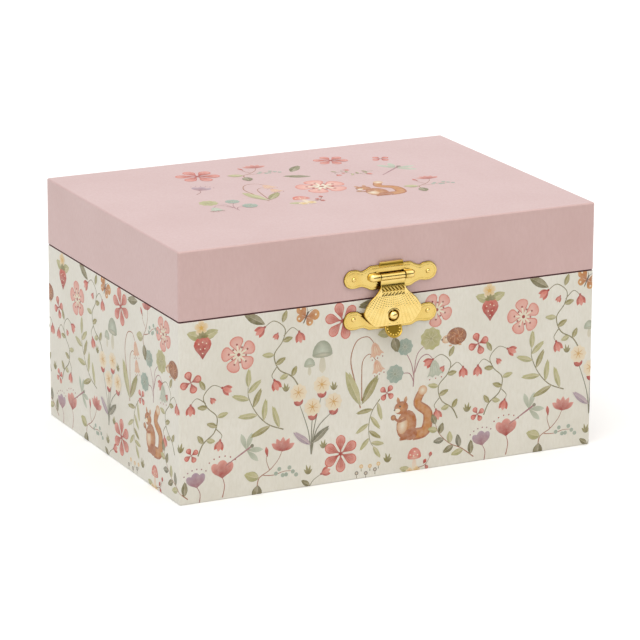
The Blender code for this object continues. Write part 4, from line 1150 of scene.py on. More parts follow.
def swept(name, rings, place, shade_and_patina=0.0, closed=True, capped=True):
    """A brass skin through rings of points, where a ring may be one point. Its darkening by patina and painted
    shade is one value, or one for each ring, or a list of them for each ring's points. An open skin is not capped."""
    shape = bmesh.new()
    shade_and_patina_layer = shape.verts.layers.float.new("patina_and_shade")
    rows = []
    for i, ring in enumerate(rings):
        rows.append([shape.verts.new(point) for point in ring])
        patina_and_shade = shade_and_patina[i] if isinstance(shade_and_patina, tuple) else shade_and_patina
        for k, vert in enumerate(rows[-1]):
            vert[shade_and_patina_layer] = patina_and_shade[k] if isinstance(patina_and_shade, list) else patina_and_shade
    span(shape, rows, closed)
    if closed and capped:
        shape.faces.new(rows[0][::-1])
        shape.faces.new(rows[-1])
    return brass_object(name, shape, place)


def turned_piece(name, profile, place, axis, steps=32, shade_and_patina=0.0):
    """A turned piece: profile points are (radius, distance along the axis)."""
    to_axis = Vector((0, 0, 1)).rotation_difference(Vector(axis)).to_matrix()
    rings = [[to_axis @ Vector((x, y, along)) for x, y in round_points(r, steps)] for r, along in profile]
    return swept(name, rings, place, shade_and_patina, capped=False)


def lobed(top, bottom, top_half, bottom_half, nail_x, drop=0.0):
    """A plate's outline: a broad middle, a shallow waist and a shield-shaped lobe at each end. The lobes
    sit lower than the nails by drop."""
    lobe = [(-3.3, 2.7), (-1.9, 3.6), (1.4, 3.7), (3.3, 2.4), (4.3, 0.1), (3.4, -2.5), (1.4, -3.7),
            (-1.3, -3.75), (-3.3, -3.25)]
    half = [(0, top), (top_half, top), (top_half + 1.7, top - 1.1)]
    half += [(nail_x + x, z - drop) for x, z in lobe]
    half += [(bottom_half + 1.6, bottom + 1.0), (bottom_half, bottom), (0, bottom)]
    return softened(mirrored(half), 0.5)


def plate_front(x, z, edge):
    """Rolled edges, a raised border with a fine line pressed inside it, and a gently swelling middle. The second
    value is a slight darkening all over, with painted shade in the pressed line and along the edges.
    """
    line = hill(edge - 0.95, 0.17)
    bulge = 0.16 * min(edge / 2.2, 1) + 0.07 * hill(edge - 0.45, 0.3)
    return (PLATE_FRONT + bulge - roll(edge, 0.32) - 0.06 * line,
            max(0.17, 0.4 * line, 0.85 * hill(edge, 0.2)))


def nail_head(name, x, z, body):
    """A small domed nail with a ring of painted shade where it meets the plate."""
    dome = [(0, 1.62), (0.3, 1.58), (0.58, 1.44), (0.8, 1.2), (0.9, 0.95), (0.98, 0.86), (1.12, 0.84),
            (1.15, 0.7)]
    shade_and_patina = (0, 0, 0, 0.3, 0.9, 1.0, 0.8, 0.5)
    made = turned_piece(name + "_dome", dome, (CLASP_X + x, FRONT, z), OUTWARD, 24, shade_and_patina)
    attach(made, body, "brass", name)


def housing(side):
    """The half-round blister that holds one end of the pin."""
    start, full_r, rings = 5.4, 1.6, []
    outline = ((0, 1.5), (0.12, 1.6), (2.9, 1.6), (3.5, 1.5), (4.0, 1.3), (4.4, 1.0), (4.7, 0.62),
               (4.88, 0.2))
    for run, r in outline:
        foot = [(r + 0.45, 0.7), (r + 0.12, 0.84), (r, 1.1)]
        arch = [turned_point(r, 0, a) for a in range(0, 181, 15)]
        ring = foot + [(z, PIN_OUT + out) for z, out in arch] + [(-z, out) for z, out in foot[::-1]]
        rings.append([(side * (start + run), -out if out <= PLATE_FRONT else
                       -(PLATE_FRONT + (out - PLATE_FRONT) * r / full_r), z) for z, out in ring])
    # Patina and painted shade darken the housing's end beside the knuckle and its tapering outer end.
    return swept(f"housing_{side}", rings, (CLASP_X, FRONT, PIN.z), (0.95, 0.3, 0, 0, 0.1, 0.3, 0.5, 0.4))


def clasp_on_lid():
    """The plate with its window, the trough behind the knuckle, the folded lip above and the housings."""
    outline = lobed(4.6, -5.2, 8.8, 8.6, NAIL_X)
    window = softened([(-5.5, -2.1), (5.5, -2.1), (5.5, 1.4), (-5.5, 1.4)], 0.15)
    plate = stamped("plate", [outline, window], plate_front, PLATE_BACK, PIN.z, PLATE_GRID)
    place = (CLASP_X, FRONT, PIN.z)
    arc = [turned_point(-1.72, 0, -a) for a in range(-60, 61, 10)]
    trough = [[(x, -PIN_OUT - out, up) for x in (-5.6, 5.6)] for out, up in arc]
    lip = []
    folds = ((0.9, 3.7, 5.1), (1.12, 4.1, 5.25), (0.95, 4.7, 5.25), (0.85, 5.3, 5.15), (1.05, 5.75, 5.0))
    for out, up, half in folds:
        ends = ((-half, 0, 0), (-half + 0.3, 0.42, 0.02), (half - 0.3, 0.42, 0.02), (half, 0, 0),
                (half - 0.3, -0.3, 0.12), (-half + 0.3, -0.3, 0.12))
        lip.append([(x, -out - thick, up + rise) for x, thick, rise in ends])
    # Patina and painted shade darken the trough behind the knuckle and the folded lip, most along the lip's middle
    # folds.
    made = join("clasp", plate, swept("trough", trough, place, 0.45, closed=False),
                swept("lip", lip, place, (0.2, 0.5, 0.75, 0.65, 0.1)), housing(-1), housing(1))
    attach(made, "lid", "brass", "clasp_plate")
    nail_head("clasp_nail_left", -NAIL_X, PIN.z, "lid")
    nail_head("clasp_nail_right", NAIL_X, PIN.z, "lid")


def hasp_front(x, z, edge):
    """The neck hollows under the knuckle, two rows of slanting cuts cross it, and ribs of beads fan out.
    Heights are from the pin. Patina and painted shade darken the edges, the neck's hollow, the cuts, the gaps
    between ribs and the rim of the hole."""
    far, patina_and_shade = 3.0 - roll(edge, 0.25), 0.35 * hill(edge, 0.12)
    knuckle_end, neck_end = -1.05, -4.0
    if z > knuckle_end:
        far, patina_and_shade = PIN_OUT + math.sqrt(max(1.3 ** 2 - z * z, 0)), 0.0
    elif z > neck_end:
        down = (knuckle_end - z) / (knuckle_end - neck_end)
        far, patina_and_shade = far - 0.42 * math.sin(math.pi * down) ** 0.7, 0.75 * down ** 1.5
    pitch = 1.5
    for middle, tall, lean, deep in ((-4.7, 1.05, 0.9, 1.0), (-6.5, 0.65, -0.9, 0.28)):
        off = abs(z - middle)
        if off < tall and abs(x) < 4.9 and edge > 0.35:
            along = (x + lean * (z - middle)) / pitch
            cut = hill(along - round(along), 0.33) * min((tall - off) / 0.18, 1)
            far, patina_and_shade = far - 0.34 * deep * cut, max(patina_and_shade * (1 - cut), deep * cut)
    hub, rib_angle, bead_pitch = 1.6, 4.6, 0.85
    reach, swing = math.hypot(x, z - hub), math.degrees(math.atan2(x, hub - z))
    ring = math.hypot(x, z - STUD_DROP)
    fan = clamped((-6.9 - z) / 0.8) * min(edge / 0.7, 1)
    if fan and abs(swing) < 41:
        rib = 0.5 + 0.5 * math.cos(math.radians(swing / rib_angle * 360))
        bead = 0.72 + 0.28 * math.cos(2 * math.pi * reach / bead_pitch)
        far += fan * clamped((ring - 3.1) / 0.5) * 0.09 * rib * bead
        patina_and_shade = max(patina_and_shade, fan * clamped((ring - 3.1) / 0.5) * 0.12 * (1 - rib) ** 2)
    swell = 0.45 * clamped((neck_end - z) / 8) * max(1 - (x / 14) ** 2, 0)
    return far + swell + 0.16 * hill(ring - 2.65, 0.22), max(patina_and_shade, 0.75 * hill(ring - 2.3, 0.12))


def lift_tab():
    """The round tab below the fan, tipped up, with a ring of beads round a field darkened by patina and painted
    shade.
    """
    tilt, steps = math.radians(25), 96
    facing = Vector((0, -math.cos(tilt), math.sin(tilt)))
    side = Vector((1, 0, 0))
    up = facing.cross(side)
    beads = round_points(2.62, 14)
    rings, shade_and_patina = [], []
    for r in [0.0] + [0.2 * k for k in range(1, 19)]:
        ring, patina_and_shade = [], []
        for x, y in round_points(r, steps):
            bead = hill(min(math.dist((x, y), place) for place in beads), 0.24)
            rim = hill(r - 3.4, 0.24)
            ring.append(side * x + up * y + facing * (0.22 + 0.34 * bead + 0.25 * rim))
            # Painted shade and patina darken all but the beads, a little less at the rim.
            patina_and_shade.append(0.78 * (1 - bead) * (1 - 0.35 * rim))
        rings.append(ring)
        shade_and_patina.append(patina_and_shade)
    for r, height in ((3.65, 0.3), (3.65, -0.25), (3.5, -0.42), (0.0, -0.42)):
        rings.append([side * x + up * y + facing * height for x, y in round_points(r, steps)])
        shade_and_patina.append(0.3)
    return swept("tab", rings, (CLASP_X, FRONT - 3.35, PIN.z - 20.75), tuple(shade_and_patina), capped=False)


def hasp():
    """The stamped fan and neck, the knuckle round the pin, and the lift tab."""
    half = [(0, 0.15), (5.15, 0.15), (5.15, -4.0), (6.0, -5.4), (7.2, -6.7), (10.2, -9.3), (12.0, -12.2),
            (12.45, -13.6), (12.1, -14.9), (10.2, -17.3), (8.0, -19.35), (0, -19.5)]
    outline = softened(mirrored(half), 0.4)
    hole = [(x, STUD_DROP + z) for x, z in round_points(2.25, 26)]
    plate = stamped("fan", [outline, hole], hasp_front, 2.35, PIN.z, PLATE_GRID / 2)
    rings = [[(x, y, z) for y, z in round_points(r, 36)]
             for x, r in ((-5.15, 1.18), (-5.07, 1.3), (5.07, 1.3), (5.15, 1.18))]
    # Painted shade darkens the knuckle's ends, beside the housings.
    knuckle = swept("knuckle", rings, (CLASP_X, PIN.y, PIN.z), (0.95, 0.2, 0.2, 0.95))
    attach(join("stamped_hasp", plate, knuckle, lift_tab()), "hasp", "brass", "hasp")


def catch_on_base():
    """The lower plate, with the domed stud that the hasp closes over."""
    outline = lobed(3.2, -5.1, 8.6, 9.4, CATCH_NAIL_X, 0.6)
    plate = stamped("catch", [outline], plate_front, PLATE_BACK, CATCH_Z, PLATE_GRID)
    attach(plate, "base", "brass", "catch_plate")
    nail_head("catch_nail_left", -CATCH_NAIL_X, CATCH_Z, "base")
    nail_head("catch_nail_right", CATCH_NAIL_X, CATCH_Z, "base")
    profile = [(0, 4.72), (0.5, 4.66), (1.0, 4.44), (1.4, 4.08), (1.72, 3.6), (1.82, 3.2), (1.6, 3.0),
               (1.12, 2.9), (1.08, 0.95), (1.5, 0.75)]
    # Painted shade darkens the underside of the dome, round its foot.
    shade_and_patina = (0, 0, 0, 0, 0.1, 0.4, 0.7, 0.6, 0.2, 0.2)
    stud = turned_piece("stud", profile, (CLASP_X, FRONT, STUD_Z), OUTWARD, 36, shade_and_patina)
    attach(stud, "base", "brass", "catch_stud")


def hinge_nails():
    """Two small domed nails in each leaf of the back hinges."""
    head = [(0, 0.6), (0.5, 0.5), (0.85, 0.25), (1.0, 0)]
    from_edge, spread, leaf_face = 4.0, 6.5, HALF_Y + 0.95
    for side in ("left", "right"):
        for body in ("base", "lid"):
            low, high = corners(f"hinge_{side}_{body}_leaf")
            z = low.z + from_edge if body == "base" else high.z - from_edge
            nails = [turned_piece("nail", head, ((low.x + high.x) / 2 + x, leaf_face, z), (0, 1, 0), 20)
                     for x in (-spread, spread)]
            attach(join(f"hinge_{side}_{body}_nails", *nails), body, "brass")


# ---------------------------------------------------------------- inside the box

def cushion(name, node, top, step=1.2):
    """A stuffed pad over a node's box. top(x, y, edge) is its height, edge being the distance to its side."""
    low, high = corners(node)
    near_edges, margin = [0, 0.15, 0.45, 0.9], 1.6

    def places(start, end):
        count = round((end - start) / step)
        middle = [start + margin + (end - start - 2 * margin) * i / count for i in range(count + 1)]
        return [start + d for d in near_edges] + middle + [end - d for d in near_edges[::-1]]

    xs, ys = places(low.x, high.x), places(low.y, high.y)
    verts = [(x, y, top(x, y, min(x - low.x, high.x - x, y - low.y, high.y - y))) for y in ys for x in xs]
    wide, last, foot = len(xs), len(verts) - 1, len(verts)
    faces = quads(len(ys), wide, wrap=False)
    border = [*range(wide - 1), *range(wide - 1, last, wide), *range(last, last - wide + 1, -1),
              *range(last - wide + 1, 0, -wide)]
    verts += [(verts[i][0], verts[i][1], low.z) for i in border]
    count = len(border)
    faces += [(foot + i, foot + (i + 1) % count, border[(i + 1) % count], border[i]) for i in range(count)]
    faces.append(tuple(foot + i for i in reversed(range(count))))
    made = piece(name, verts, faces, VELVET)
    weighted_normals(made)
    attach(made, "base", "velvet", node)


RING_ROLLS = 4


def pads():
    """Thin padded floors of the three open compartments, and the block of ring rolls."""
    for node in ("left_pad", "right_pad", "front_pad"):
        low, high = corners(node)

        def crowned(x, y, edge):
            u = (2 * x - low.x - high.x) / (high.x - low.x)
            v = (2 * y - low.y - high.y) / (high.y - low.y)
            puff = 1.3 * (1 - u ** 4) * (1 - v ** 4)
            wrinkle = 0.22 * noise.noise((x * 0.12, y * 0.12, low.x))
            return high.z - 0.5 - roll(edge, 1.6) + puff + wrinkle

        cushion(node + "_velvet", node, crowned)
    low, high = corners("ring_cushion")
    pitch = (high.y - low.y) / RING_ROLLS
    r = pitch / 2 - 0.3

    def rolls(x, y, edge):
        off = (y - low.y) % pitch - pitch / 2
        end = min(x - low.x, high.x - x)
        crown = math.sqrt(max(r * r - off * off, 0)) * (1 - 0.25 * roll(end, 3.0) / 3.0)
        pull = 0.18 * noise.noise((x * 0.35, y * 0.15, 3.0)) * hill(abs(off) - r, 2.5)
        slot = 4.2 * hill(abs(off) - pitch / 2, 0.55)
        return high.z - r - slot + crown - 0.8 * roll(end, 2.4) + pull

    cushion("ring_rolls", "ring_cushion", rolls, 0.62)


def covered_board(node):
    """A board covered in velvet: rounded edges and a slightly uneven skin."""
    radius, unevenness, cell = 0.7, 0.06, 4
    low, high = corners(node)
    middle = (low + high) / 2
    shape = bmesh.new()
    bmesh.ops.create_cube(shape, size=1, matrix=Matrix.LocRotScale(middle, None, high - low))
    bmesh.ops.bevel(shape, geom=shape.edges[:], offset=radius, segments=4, profile=0.5, affect="EDGES")
    for axis, normal in enumerate(((1, 0, 0), (0, 1, 0), (0, 0, 1))):
        cells = int((high[axis] - low[axis]) / cell)
        crease(shape, normal, [low[axis] + cell * k for k in range(1, cells)])
    for vert in shape.verts:
        inward = Vector([1 if a > b else -1 for a, b in zip(vert.co, middle)])
        vert.co -= inward * unevenness * (noise.noise(vert.co * 0.15) + 0.5)
    made = finished(node + "_velvet", shape, VELVET)
    made.data.shade_smooth()
    weighted_normals(made)
    attach(made, "base", "velvet", node)


def rings_along(points, radii, steps, across=None, closed=False):
    """Rings round a path that twist as little as they can. Each has a radius across and one at right angles
    to that."""
    rings, count = [], len(points)
    for i, (point, (wide, deep)) in enumerate(zip(points, radii)):
        after = points[(i + 1) % count if closed else min(i + 1, count - 1)]
        before = points[i - 1 if closed else max(i - 1, 0)]
        along = (after - before).normalized()
        if across is None:
            across = along.orthogonal()
        across = (across - along * across.dot(along)).normalized()
        other = along.cross(across)
        rings.append([point + across * x * wide + other * y * deep for x, y in round_points(1, steps)])
    return rings


def tube(name, path, r, material, steps=10, closed=False):
    """A round cord along a path of points; r may be one radius or one for each point."""
    radii = r if isinstance(r, list) else [r] * len(path)
    rings = rings_along([Vector(p) for p in path], [(r, r) for r in radii], steps, closed=closed)
    faces = quads(len(rings), steps, close=closed)
    if not closed:
        faces += [tuple(reversed(range(steps))), tuple(range((len(rings) - 1) * steps, len(rings) * steps))]
    return piece(name, [point for ring in rings for point in ring], faces, material)


def trims():
    """Satin cord round the mirror, and a turned ring round the turntable's opening."""
    high = corners("mirror")[1]
    z = corners("lid_lining")[0].z
    margin, corner_r, twist_pitch = 0.3, 2.2, 1.5
    loop = [(x, y, z) for x, y in rounded_rectangle(high.x + margin, high.y + margin, corner_r, 5)]
    path = []
    for a, b in zip(loop, loop[1:] + loop[:1]):
        steps = max(1, round(math.dist(a, b) / twist_pitch))
        path += [mix(a, b, k / steps) for k in range(steps)]
    radii = [0.62 + 0.07 * math.sin(2.1 * i) for i in range(len(path))]
    attach(tube("mirror_cord", path, radii, RIBBON, closed=True), "lid", "ribbon")
    ring = [(4.1, 0.0), (4.1, 0.28), (3.8, 0.42), (2.9, 0.42), (2.75, 0.3), (2.75, 0.0)]
    place = (*centre("turntable").xy, corners("movement_deck")[1].z)
    attach(turned_piece("deck_ring", ring, place, (0, 0, 1), 40), "base", "brass")


def joint(name):
    return next(j for j in frame["joints"] if j["name"] == name)


def stay_ribbon():
    """The ribbon that stops the lid: folded beside the left wall, straight when the lid is open. It is drawn
    straight between its ends at the open lid, then each row is turned back by its share of the opening."""
    hinge = joint("lid_hinge")
    axis = Vector(hinge["pos_m"]).yz / MM
    opening = math.radians(hinge["range_deg"][1])
    x = corners("stay_ribbon")[0].x + 0.02
    foot, lid_z, slant = Vector((25.0, 66.0)), 79.0, 0.5
    rows, strands, pitch = 60, 7, 0.9
    r = (axis - foot).length
    start, end = (math.atan2(z - axis.y, axis.x - foot.x) for z in (foot.y, lid_z))
    whole = opening + end - start
    across = Vector((-math.cos(start + whole / 2), math.sin(start + whole / 2)))
    verts = []
    for w in (i / rows for i in range(rows + 1)):
        reach = r * math.cos(whole / 2) / math.cos(w * whole - whole / 2)
        angle = start + w * whole
        middle = Vector((-reach * math.cos(angle), reach * math.sin(angle)))
        # The share of the slant at which the blend between the two bodies gives this row its turn w.
        t = 0.5 - math.sin(math.asin(max(-1, min(1, 1 - 2 * w))) / 3)
        for strand in range(strands):
            offset = middle + across * (strand - strands // 2) * pitch
            y, z = turned_point(*offset, math.degrees(w * opening))
            verts.append((x + slant * t, axis.x + y, axis.y + z))
    made = piece("satin_stay", verts, quads(rows + 1, strands, wrap=False), RIBBON)
    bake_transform(made)
    thick = made.modifiers.new("thickness", "SOLIDIFY")
    thick.thickness, thick.offset = 0.2 * MM, 0
    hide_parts("stay_ribbon")


# ---------------------------------------------------------------- the dancer

DANCER_FOOT = Vector(joint("ballerina_lean")["pos_m"]) / MM
LEAN_ANGLE = math.radians(joint("ballerina_lean")["range_deg"][1])


def leaning(point, share=1.0):
    """Where a point of the upright dancer is when she is folded down under the lid."""
    return DANCER_FOOT + Matrix.Rotation(LEAN_ANGLE * share, 3, "X") @ Vector(point)


def dancer_spring():
    """The coil between the turntable and her foot."""
    start, end = leaning((0, 0, 3.2), 0), leaning((0, 0, 12.9))
    run = end - start

    def share(place):
        t = clamped((place - start).dot(run) / run.length_squared)
        return t * t * (3 - 2 * t)

    turns, steps, r, low, height = 7, 26, 2.2, 3.3, 10.1
    count = turns * steps
    path = []
    for i in range(count + 1):
        a = 2 * math.pi * i / steps
        closeness = math.cos(math.pi * min(min(i, count - i) / steps, 1))
        path.append((r * math.cos(a), r * math.sin(a), low + height * (i / count) + 0.2 * closeness))
    coil = tube("spring_coil", path, 0.33, STEEL, 8)
    for vert in coil.data.vertices:
        upright = vert.co / MM
        w = 0.5
        for _ in range(50):
            w = 0.5 * w + 0.5 * share(leaning(upright, w))
        vert.co = leaning(upright, w) * MM
    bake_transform(coil)
    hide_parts("ballerina_spring")


def limb(*stations, steps=14):
    """A smooth limb through stations (x, y, z, radius, radius); the radii are across and fore-and-aft, and
    one stands for both. Each end is rounded off by a smaller ring."""
    line = curve(*[s if len(s) == 5 else (*s, s[3]) for s in stations], steps=5)
    points = [Vector(p[:3]) for p in line]
    radii = [p[3:] for p in line]
    for at, end, inner in ((0, 0, 1), (len(line), -1, -2)):
        tip = line[end][3] * 0.7
        outward = (Vector(line[end][:3]) - Vector(line[inner][:3])).normalized()
        points.insert(at + (at > 0), Vector(line[end][:3]) + outward * tip)
        radii.insert(at + (at > 0), [r * 0.45 for r in line[end][3:]])
    shape = bmesh.new()
    rings = rings_along(points, radii, steps, Vector((1, 0, 0)))
    rows = [[shape.verts.new(point) for point in ring] for ring in rings]
    span(shape, rows)
    shape.faces.new(rows[0][::-1])
    shape.faces.new(rows[-1])
    return shape


def ball(x, y, z, rx, ry, rz, steps=18, rings=0, into=None):
    """An ellipsoid, as a new bmesh or added to another."""
    shape = into or bmesh.new()
    bmesh.ops.create_uvsphere(shape, u_segments=steps, v_segments=rings or steps // 2 + 1, radius=1,
                              matrix=Matrix.LocRotScale((x, y, z), None, (rx, ry, rz)))
    return shape


def modelled(name, material, voxel, *shapes, smoothing=4):
    """Shapes melted into one skin, smoothed, and laid down as she leans at rest."""
    mesh = bpy.data.meshes.new(name)
    whole = bmesh.new()
    for shape in shapes:
        part = bpy.data.meshes.new("part")
        shape.to_mesh(part)
        shape.free()
        whole.from_mesh(part)
        bpy.data.meshes.remove(part)
    bmesh.ops.recalc_face_normals(whole, faces=whole.faces[:])
    whole.to_mesh(mesh)
    whole.free()
    made = link(name, mesh)
    if voxel:
        melt = made.modifiers.new("melt", "REMESH")
        melt.mode, melt.voxel_size = "VOXEL", voxel
        soften = made.modifiers.new("soften", "SMOOTH")
        soften.factor, soften.iterations = 0.5, smoothing
        bpy.context.view_layer.update()
        melted = made.evaluated_get(bpy.context.evaluated_depsgraph_get())
        mesh = bpy.data.meshes.new_from_object(melted)
        made.modifiers.clear()
        made.data = mesh
    for vert in mesh.vertices:
        vert.co = leaning(vert.co) * MM
    mesh.materials.clear()
    mesh.materials.append(material)
    mesh.shade_smooth()
    return made


def on_dancer(made, *stands_for):
    return attach(made, "dancer", "figure", *stands_for)


def dancer():
    """A small painted dancer on one pointed foot, arms raised, and her net skirt."""
    sides = (-1, 1)
    arms = [limb((s * 1.7, 0, 43.2, 0.8), (s * 3.4, -0.2, 45.2, 0.66), (s * 5.4, -0.6, 49, 0.55),
                 (s * 4.6, -0.9, 52.8, 0.5), (s * 2.2, -1.15, 55.9, 0.42), (s * 1.0, -1.25, 56.6, 0.34))
            for s in sides]
    hands = [limb((s * 1.9, -1.2, 56.1, 0.42, 0.3), (s * 1.2, -1.25, 56.7, 0.45, 0.28),
                  (s * 0.4, -1.3, 56.9, 0.2, 0.16)) for s in sides]
    standing = limb((-0.9, 0, 34.2, 1.6), (-0.75, 0, 30, 1.42), (-0.5, -0.05, 25.8, 1.02),
                    (-0.4, 0.15, 22.8, 1.15), (-0.12, 0.05, 18.6, 0.62))
    bent = limb((0.9, 0, 34.2, 1.55), (3.2, -0.9, 30.8, 1.35), (5.3, -1.6, 27.3, 1.05),
                (3.9, -1.45, 25.7, 1.05), (1.7, -1.05, 24.1, 0.6))
    head = [ball(0, -0.2, 49.2, 2.25, 2.4, 2.75), ball(0, -0.75, 47.9, 1.35, 1.45, 1.35),
            ball(0, -2.55, 48.9, 0.26, 0.3, 0.34), *(ball(s * 2.2, 0, 49, 0.28, 0.45, 0.6) for s in sides)]
    neck = limb((0, 0.1, 43.6, 0.95), (0, 0, 45.0, 0.72), (0, -0.1, 46.8, 0.78))
    chest = limb((0, 0, 41.8, 1.85, 1.25), (0, 0, 43.3, 2.05, 1.0))
    skin = modelled("dancer_skin", SKIN, 0.24, *arms, *hands, standing, bent, *head, neck, chest)
    on_dancer(skin, "figure")
    torso = limb((0, 0, 33.4, 1.9, 1.5), (0, 0, 34.8, 2.35, 1.75), (0, 0, 38, 1.5, 1.15),
                 (0, -0.15, 40.6, 1.95, 1.45), (0, 0, 42.3, 2.05, 1.3))
    straps = [limb((s * 1.3, -1.15, 41.8, 0.28), (s * 1.45, -0.7, 43.4, 0.26), (s * 1.4, 0.2, 44.1, 0.26),
                   (s * 1.3, 1.0, 42.6, 0.28), steps=8) for s in sides]
    busts = [ball(s * 0.85, -0.95, 41.2, 0.85, 0.7, 0.8) for s in sides]
    on_dancer(modelled("dancer_bodice", LEOTARD, 0.2, torso, *straps, *busts))
    hair()
    toes = [limb((-0.12, 0.05, 18.9, 0.66), (-0.06, 0.0, 17.4, 0.66, 0.8), (0, -0.1, 15.9, 0.5, 0.6),
                 (0, -0.05, 15.0, 0.4, 0.45)),
            limb((1.8, -1.05, 24.2, 0.64), (1.0, -0.9, 23.5, 0.66, 0.6), (0.3, -0.75, 22.8, 0.48, 0.42),
                 (-0.1, -0.6, 22.3, 0.3))]
    stand = ball(0, 0, 14.6, 3.0, 3.0, 0.62, 24)
    on_dancer(modelled("dancer_shoes", LEOTARD, 0.2, *toes, stand))
    face()
    skirt()


def hair():
    """A smooth cap of hair with a bun and a band round it. The cap stops at the hairline: everything that
    would cover the face is cut away."""
    cap, bun = ball(0, 0.05, 49.55, 2.5, 2.55, 2.75, 28), ball(0, 1.75, 52.45, 1.25, 1.2, 1.05, 24)
    made = modelled("hair_cap", HAIR, 0.16, cap, bun, smoothing=1)
    shape = bmesh.new()
    shape.from_mesh(made.data)
    point, normal = leaning((0, -2.0, 51.0)) * MM, leaning((0, -0.75, -0.66)) - leaning((0, 0, 0))
    geometry = shape.verts[:] + shape.edges[:] + shape.faces[:]
    cut = bmesh.ops.bisect_plane(shape, geom=geometry, plane_co=point, plane_no=normal, clear_outer=True)
    bmesh.ops.triangle_fill(shape, edges=[g for g in cut["geom_cut"] if isinstance(g, bmesh.types.BMEdge)])
    shape.to_mesh(made.data)
    shape.free()
    made.data.shade_smooth()
    on_dancer(made)
    ring = [leaning((x, 1.36 + y, 51.85 - 0.53 * y / 0.9)) for x, y in round_points(1.05, 24, 0.9 / 1.05)]
    on_dancer(tube("hair_band", ring, 0.22, RIBBON, 8, closed=True))


def face():
    """Plain painted eyes with a painted highlight in each, brows, cheeks and mouth, as thin raised spots."""
    shape = bmesh.new()
    tinted = shape.verts.layers.float_color.new("tint")
    spots = [(0, -2.2, 47.95, 0.42, 0.14, 0.16, tint("c4544f"))]
    for s in (1, -1):
        spots[:0] = [(s * 0.85, -2.34, 49.3, 0.22, 0.12, 0.3, INK_DARK),
                     (s * 0.87, -2.36, 49.72, 0.34, 0.1, 0.07, tint("6e4630")),
                     # A white dot in each eye: a painted highlight.
                     (s * 0.83, -2.44, 49.38, 0.06, 0.05, 0.07, (1, 1, 1)),
                     (s * 1.25, -2.0, 48.5, 0.42, 0.14, 0.32, tint("eaa79c"))]
    for *form, colour in spots:
        before = len(shape.verts)
        ball(*form, 12, 8, shape)
        shape.verts.ensure_lookup_table()
        for vert in shape.verts[before:]:
            vert[tinted] = (*colour, 1)
    on_dancer(modelled("face_paint", INK, 0, shape))


def skirt():
    """Five gathered rounds of net, each a little smaller and more ruffled than the one above."""
    verts, faces = [], []
    around, out, waist_r, waist_z = 200, 11, 1.9, 35.95
    generator = random.Random(7)
    for k in range(5):
        reach, folds = 16.0 - 0.55 * k, 22 + 3 * k
        phase, base = generator.uniform(0, 6), len(verts)
        for i in range(out + 1):
            share = i / out
            r = waist_r + (reach - waist_r) * share
            for n in range(around):
                a = 2 * math.pi * n / around
                wave = math.sin(folds * a + phase) + 0.35 * math.sin((folds + 5) * a + 2 * phase)
                frill = 1 + 0.02 * share * math.sin(3 * folds * a)
                z = waist_z - 0.26 * k - 0.35 * share ** 2 + 0.5 * share ** 1.3 * wave
                verts.append(leaning((r * frill * math.cos(a), r * frill * math.sin(a), z)))
        faces += [tuple(base + n for n in (a, d, c, b)) for a, b, c, d in quads(out + 1, around)]
    attach(piece("net_skirt", verts, faces, TULLE), "dancer", "tulle", "tutu")


def soften_cad():
    """Small rounded edges on the CAD nodes that stay in sight."""
    for node in NODES.values():
        if node.hide_render:
            continue
        weld = node.modifiers.new("weld", "WELD")
        weld.merge_threshold = 0.005 * MM
        bevel = node.modifiers.new("edges", "BEVEL")
        bevel.width, bevel.segments, bevel.limit_method = 0.12 * MM, 2, "ANGLE"
        bevel.angle_limit = math.radians(40)
        bevel.use_clamp_overlap = True
        bevel.harden_normals = False


# ---------------------------------------------------------------- stage

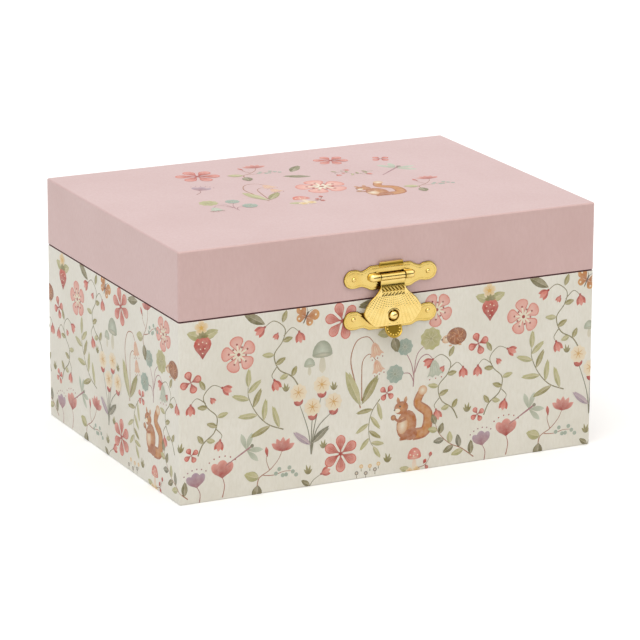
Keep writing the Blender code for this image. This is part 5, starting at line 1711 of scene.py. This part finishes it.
def studio():
    """A white floor under a soft white sky, with a warm sun. Polished metal also sees the dark room
    behind the camera, between the side windows."""
    floor_paint = Shader("pale_floor", (0.93, 0.93, 0.925), 0.85)
    floor_paint.set("Emission Color", (0.9, 0.95, 1, 1))
    mottle = floor_paint.blend(floor_paint.noise(0.002, 2), (0.95, 0.95, 0.945), (0.93, 0.93, 0.925))
    rays = floor_paint.tree.nodes.new("ShaderNodeLightPath").outputs
    floor_paint.set("Base Color", floor_paint.blend(rays["Is Diffuse Ray"], mottle, (0.7, 0.695, 0.69)))
    floor_paint.set("Emission Strength", floor_paint.band(rays["Is Camera Ray"], 0, 1, 0.05, 0.16))
    reach = 6000
    corner = [(-reach, -reach, 0), (reach, -reach, 0), (reach, reach, 0), (-reach, reach, 0)]
    piece("floor", corner, [(0, 1, 2, 3)], floor_paint.material, smooth=False)
    sky = Shader.of_world("studio")
    split = sky.tree.nodes.new("ShaderNodeSeparateXYZ")
    sky.fill(split.inputs[0], sky.place)
    x, y, z = split.outputs
    soft = sky.ramp(z, (0.0, 0.33), (0.25, 0.46), (0.6, 1.08))
    sides = sky.maths("MULTIPLY", sky.maths("ABSOLUTE", sky.maths("SUBTRACT", x, 0.35)), 0.45)
    room = sky.ramp(sky.maths("ADD", z, sides), (0.0, 0.015), (0.38, 0.04), (0.5, 0.85), (0.8, 1.7))
    rays = sky.tree.nodes.new("ShaderNodeLightPath").outputs
    satin_ray = sky.maths("SUBTRACT", rays["Is Glossy Ray"], rays["Is Singular Ray"])
    facing = sky.maths("MULTIPLY", satin_ray, sky.band(y, -0.3, 0.1, 1.0, 0.0))
    warmth = sky.blend(sky.band(y, -0.8, 0.8), (1.0, 0.955, 0.9), (0.98, 1.0, 1.03))
    soft = sky.blend(1.0, soft, warmth, "MULTIPLY")
    soft = sky.blend(1.0, soft, sky.blend(sky.band(x, -0.9, 0.1), (0.78, 0.79, 0.81), (1, 1, 1)), "MULTIPLY")
    behind = sky.maths("MULTIPLY", rays["Is Glossy Ray"], sky.band(y, 0.1, 0.7))
    sheen = sky.blend(behind, sky.blend(facing, soft, room), (0.75, 0.8, 0.84))
    seen = sky.blend(rays["Is Camera Ray"], sheen, (1.06, 1.06, 1.06))
    sky.fill(sky.tree.nodes["Background"].inputs["Color"], seen)
    sky.fill(sky.tree.nodes["Background"].inputs["Strength"], 0.96)
    lamp = bpy.data.lights.new("sun", "SUN")
    lamp.energy, lamp.angle, lamp.color = 0.8, math.radians(40), (1.0, 0.94, 0.86)
    from_sun = Vector((-0.3, -0.24, 0.92))
    link("sun", lamp).rotation_euler = from_sun.to_track_quat("Z", "Y").to_euler()
    bpy.context.scene.view_settings.view_transform = "Standard"


def camera():
    """Three-quarter view from the left front, a little above."""
    azimuth, elevation, tilt = math.radians(-26.203), math.radians(15.886), math.radians(0.209)
    distance, box_middle, shift_right, shift_down = 1.5178, Vector((0, 0, 0.05)), 0.00115, 0.00378
    back = Vector((math.sin(azimuth) * math.cos(elevation), -math.cos(azimuth) * math.cos(elevation),
                   math.sin(elevation)))
    right = Vector((math.cos(azimuth), math.sin(azimuth), 0))
    up = back.cross(right)
    aim = box_middle + right * shift_right - up * shift_down
    right, up = right * math.cos(tilt) + up * math.sin(tilt), up * math.cos(tilt) - right * math.sin(tilt)
    lens = bpy.data.cameras.new("camera")
    lens.lens, lens.sensor_width = 212.07, 36.0
    lens.clip_start, lens.clip_end = 0.05, 50
    made = link("camera", lens)
    turn = Matrix((right, up, back)).transposed().to_4x4()
    made.matrix_world = Matrix.Translation(aim + back * distance) @ turn
    bpy.context.scene.camera = made


def dress_cad():
    """Every CAD node that stays gets its finish."""
    finish = {"paper": PAPER, "lid_paper": LID_PAPER, "velvet": VELVET, "ribbon": RIBBON, "brass": BRASS,
              "movement_brass": MOVEMENT_BRASS, "steel": STEEL, "bed": BED, "nylon": NYLON, "figure": SKIN,
              "tulle": TULLE, "mirror": MIRROR}
    for part in frame["record"]["subparts"]:
        node = NODES[part["node"]]
        node.data.materials.clear()
        node.data.materials.append(finish[part["material_slot"]])


dress_cad()
base_shell()
lid_shell()
base_print()
lid_print()
clasp_on_lid()
hasp()
catch_on_base()
hinge_nails()
pads()
for board in ("long_divider", "left_divider", "right_divider", "front_divider"):
    covered_board(board)
trims()
stay_ribbon()
dancer_spring()
dancer()
soften_cad()
studio()
camera()
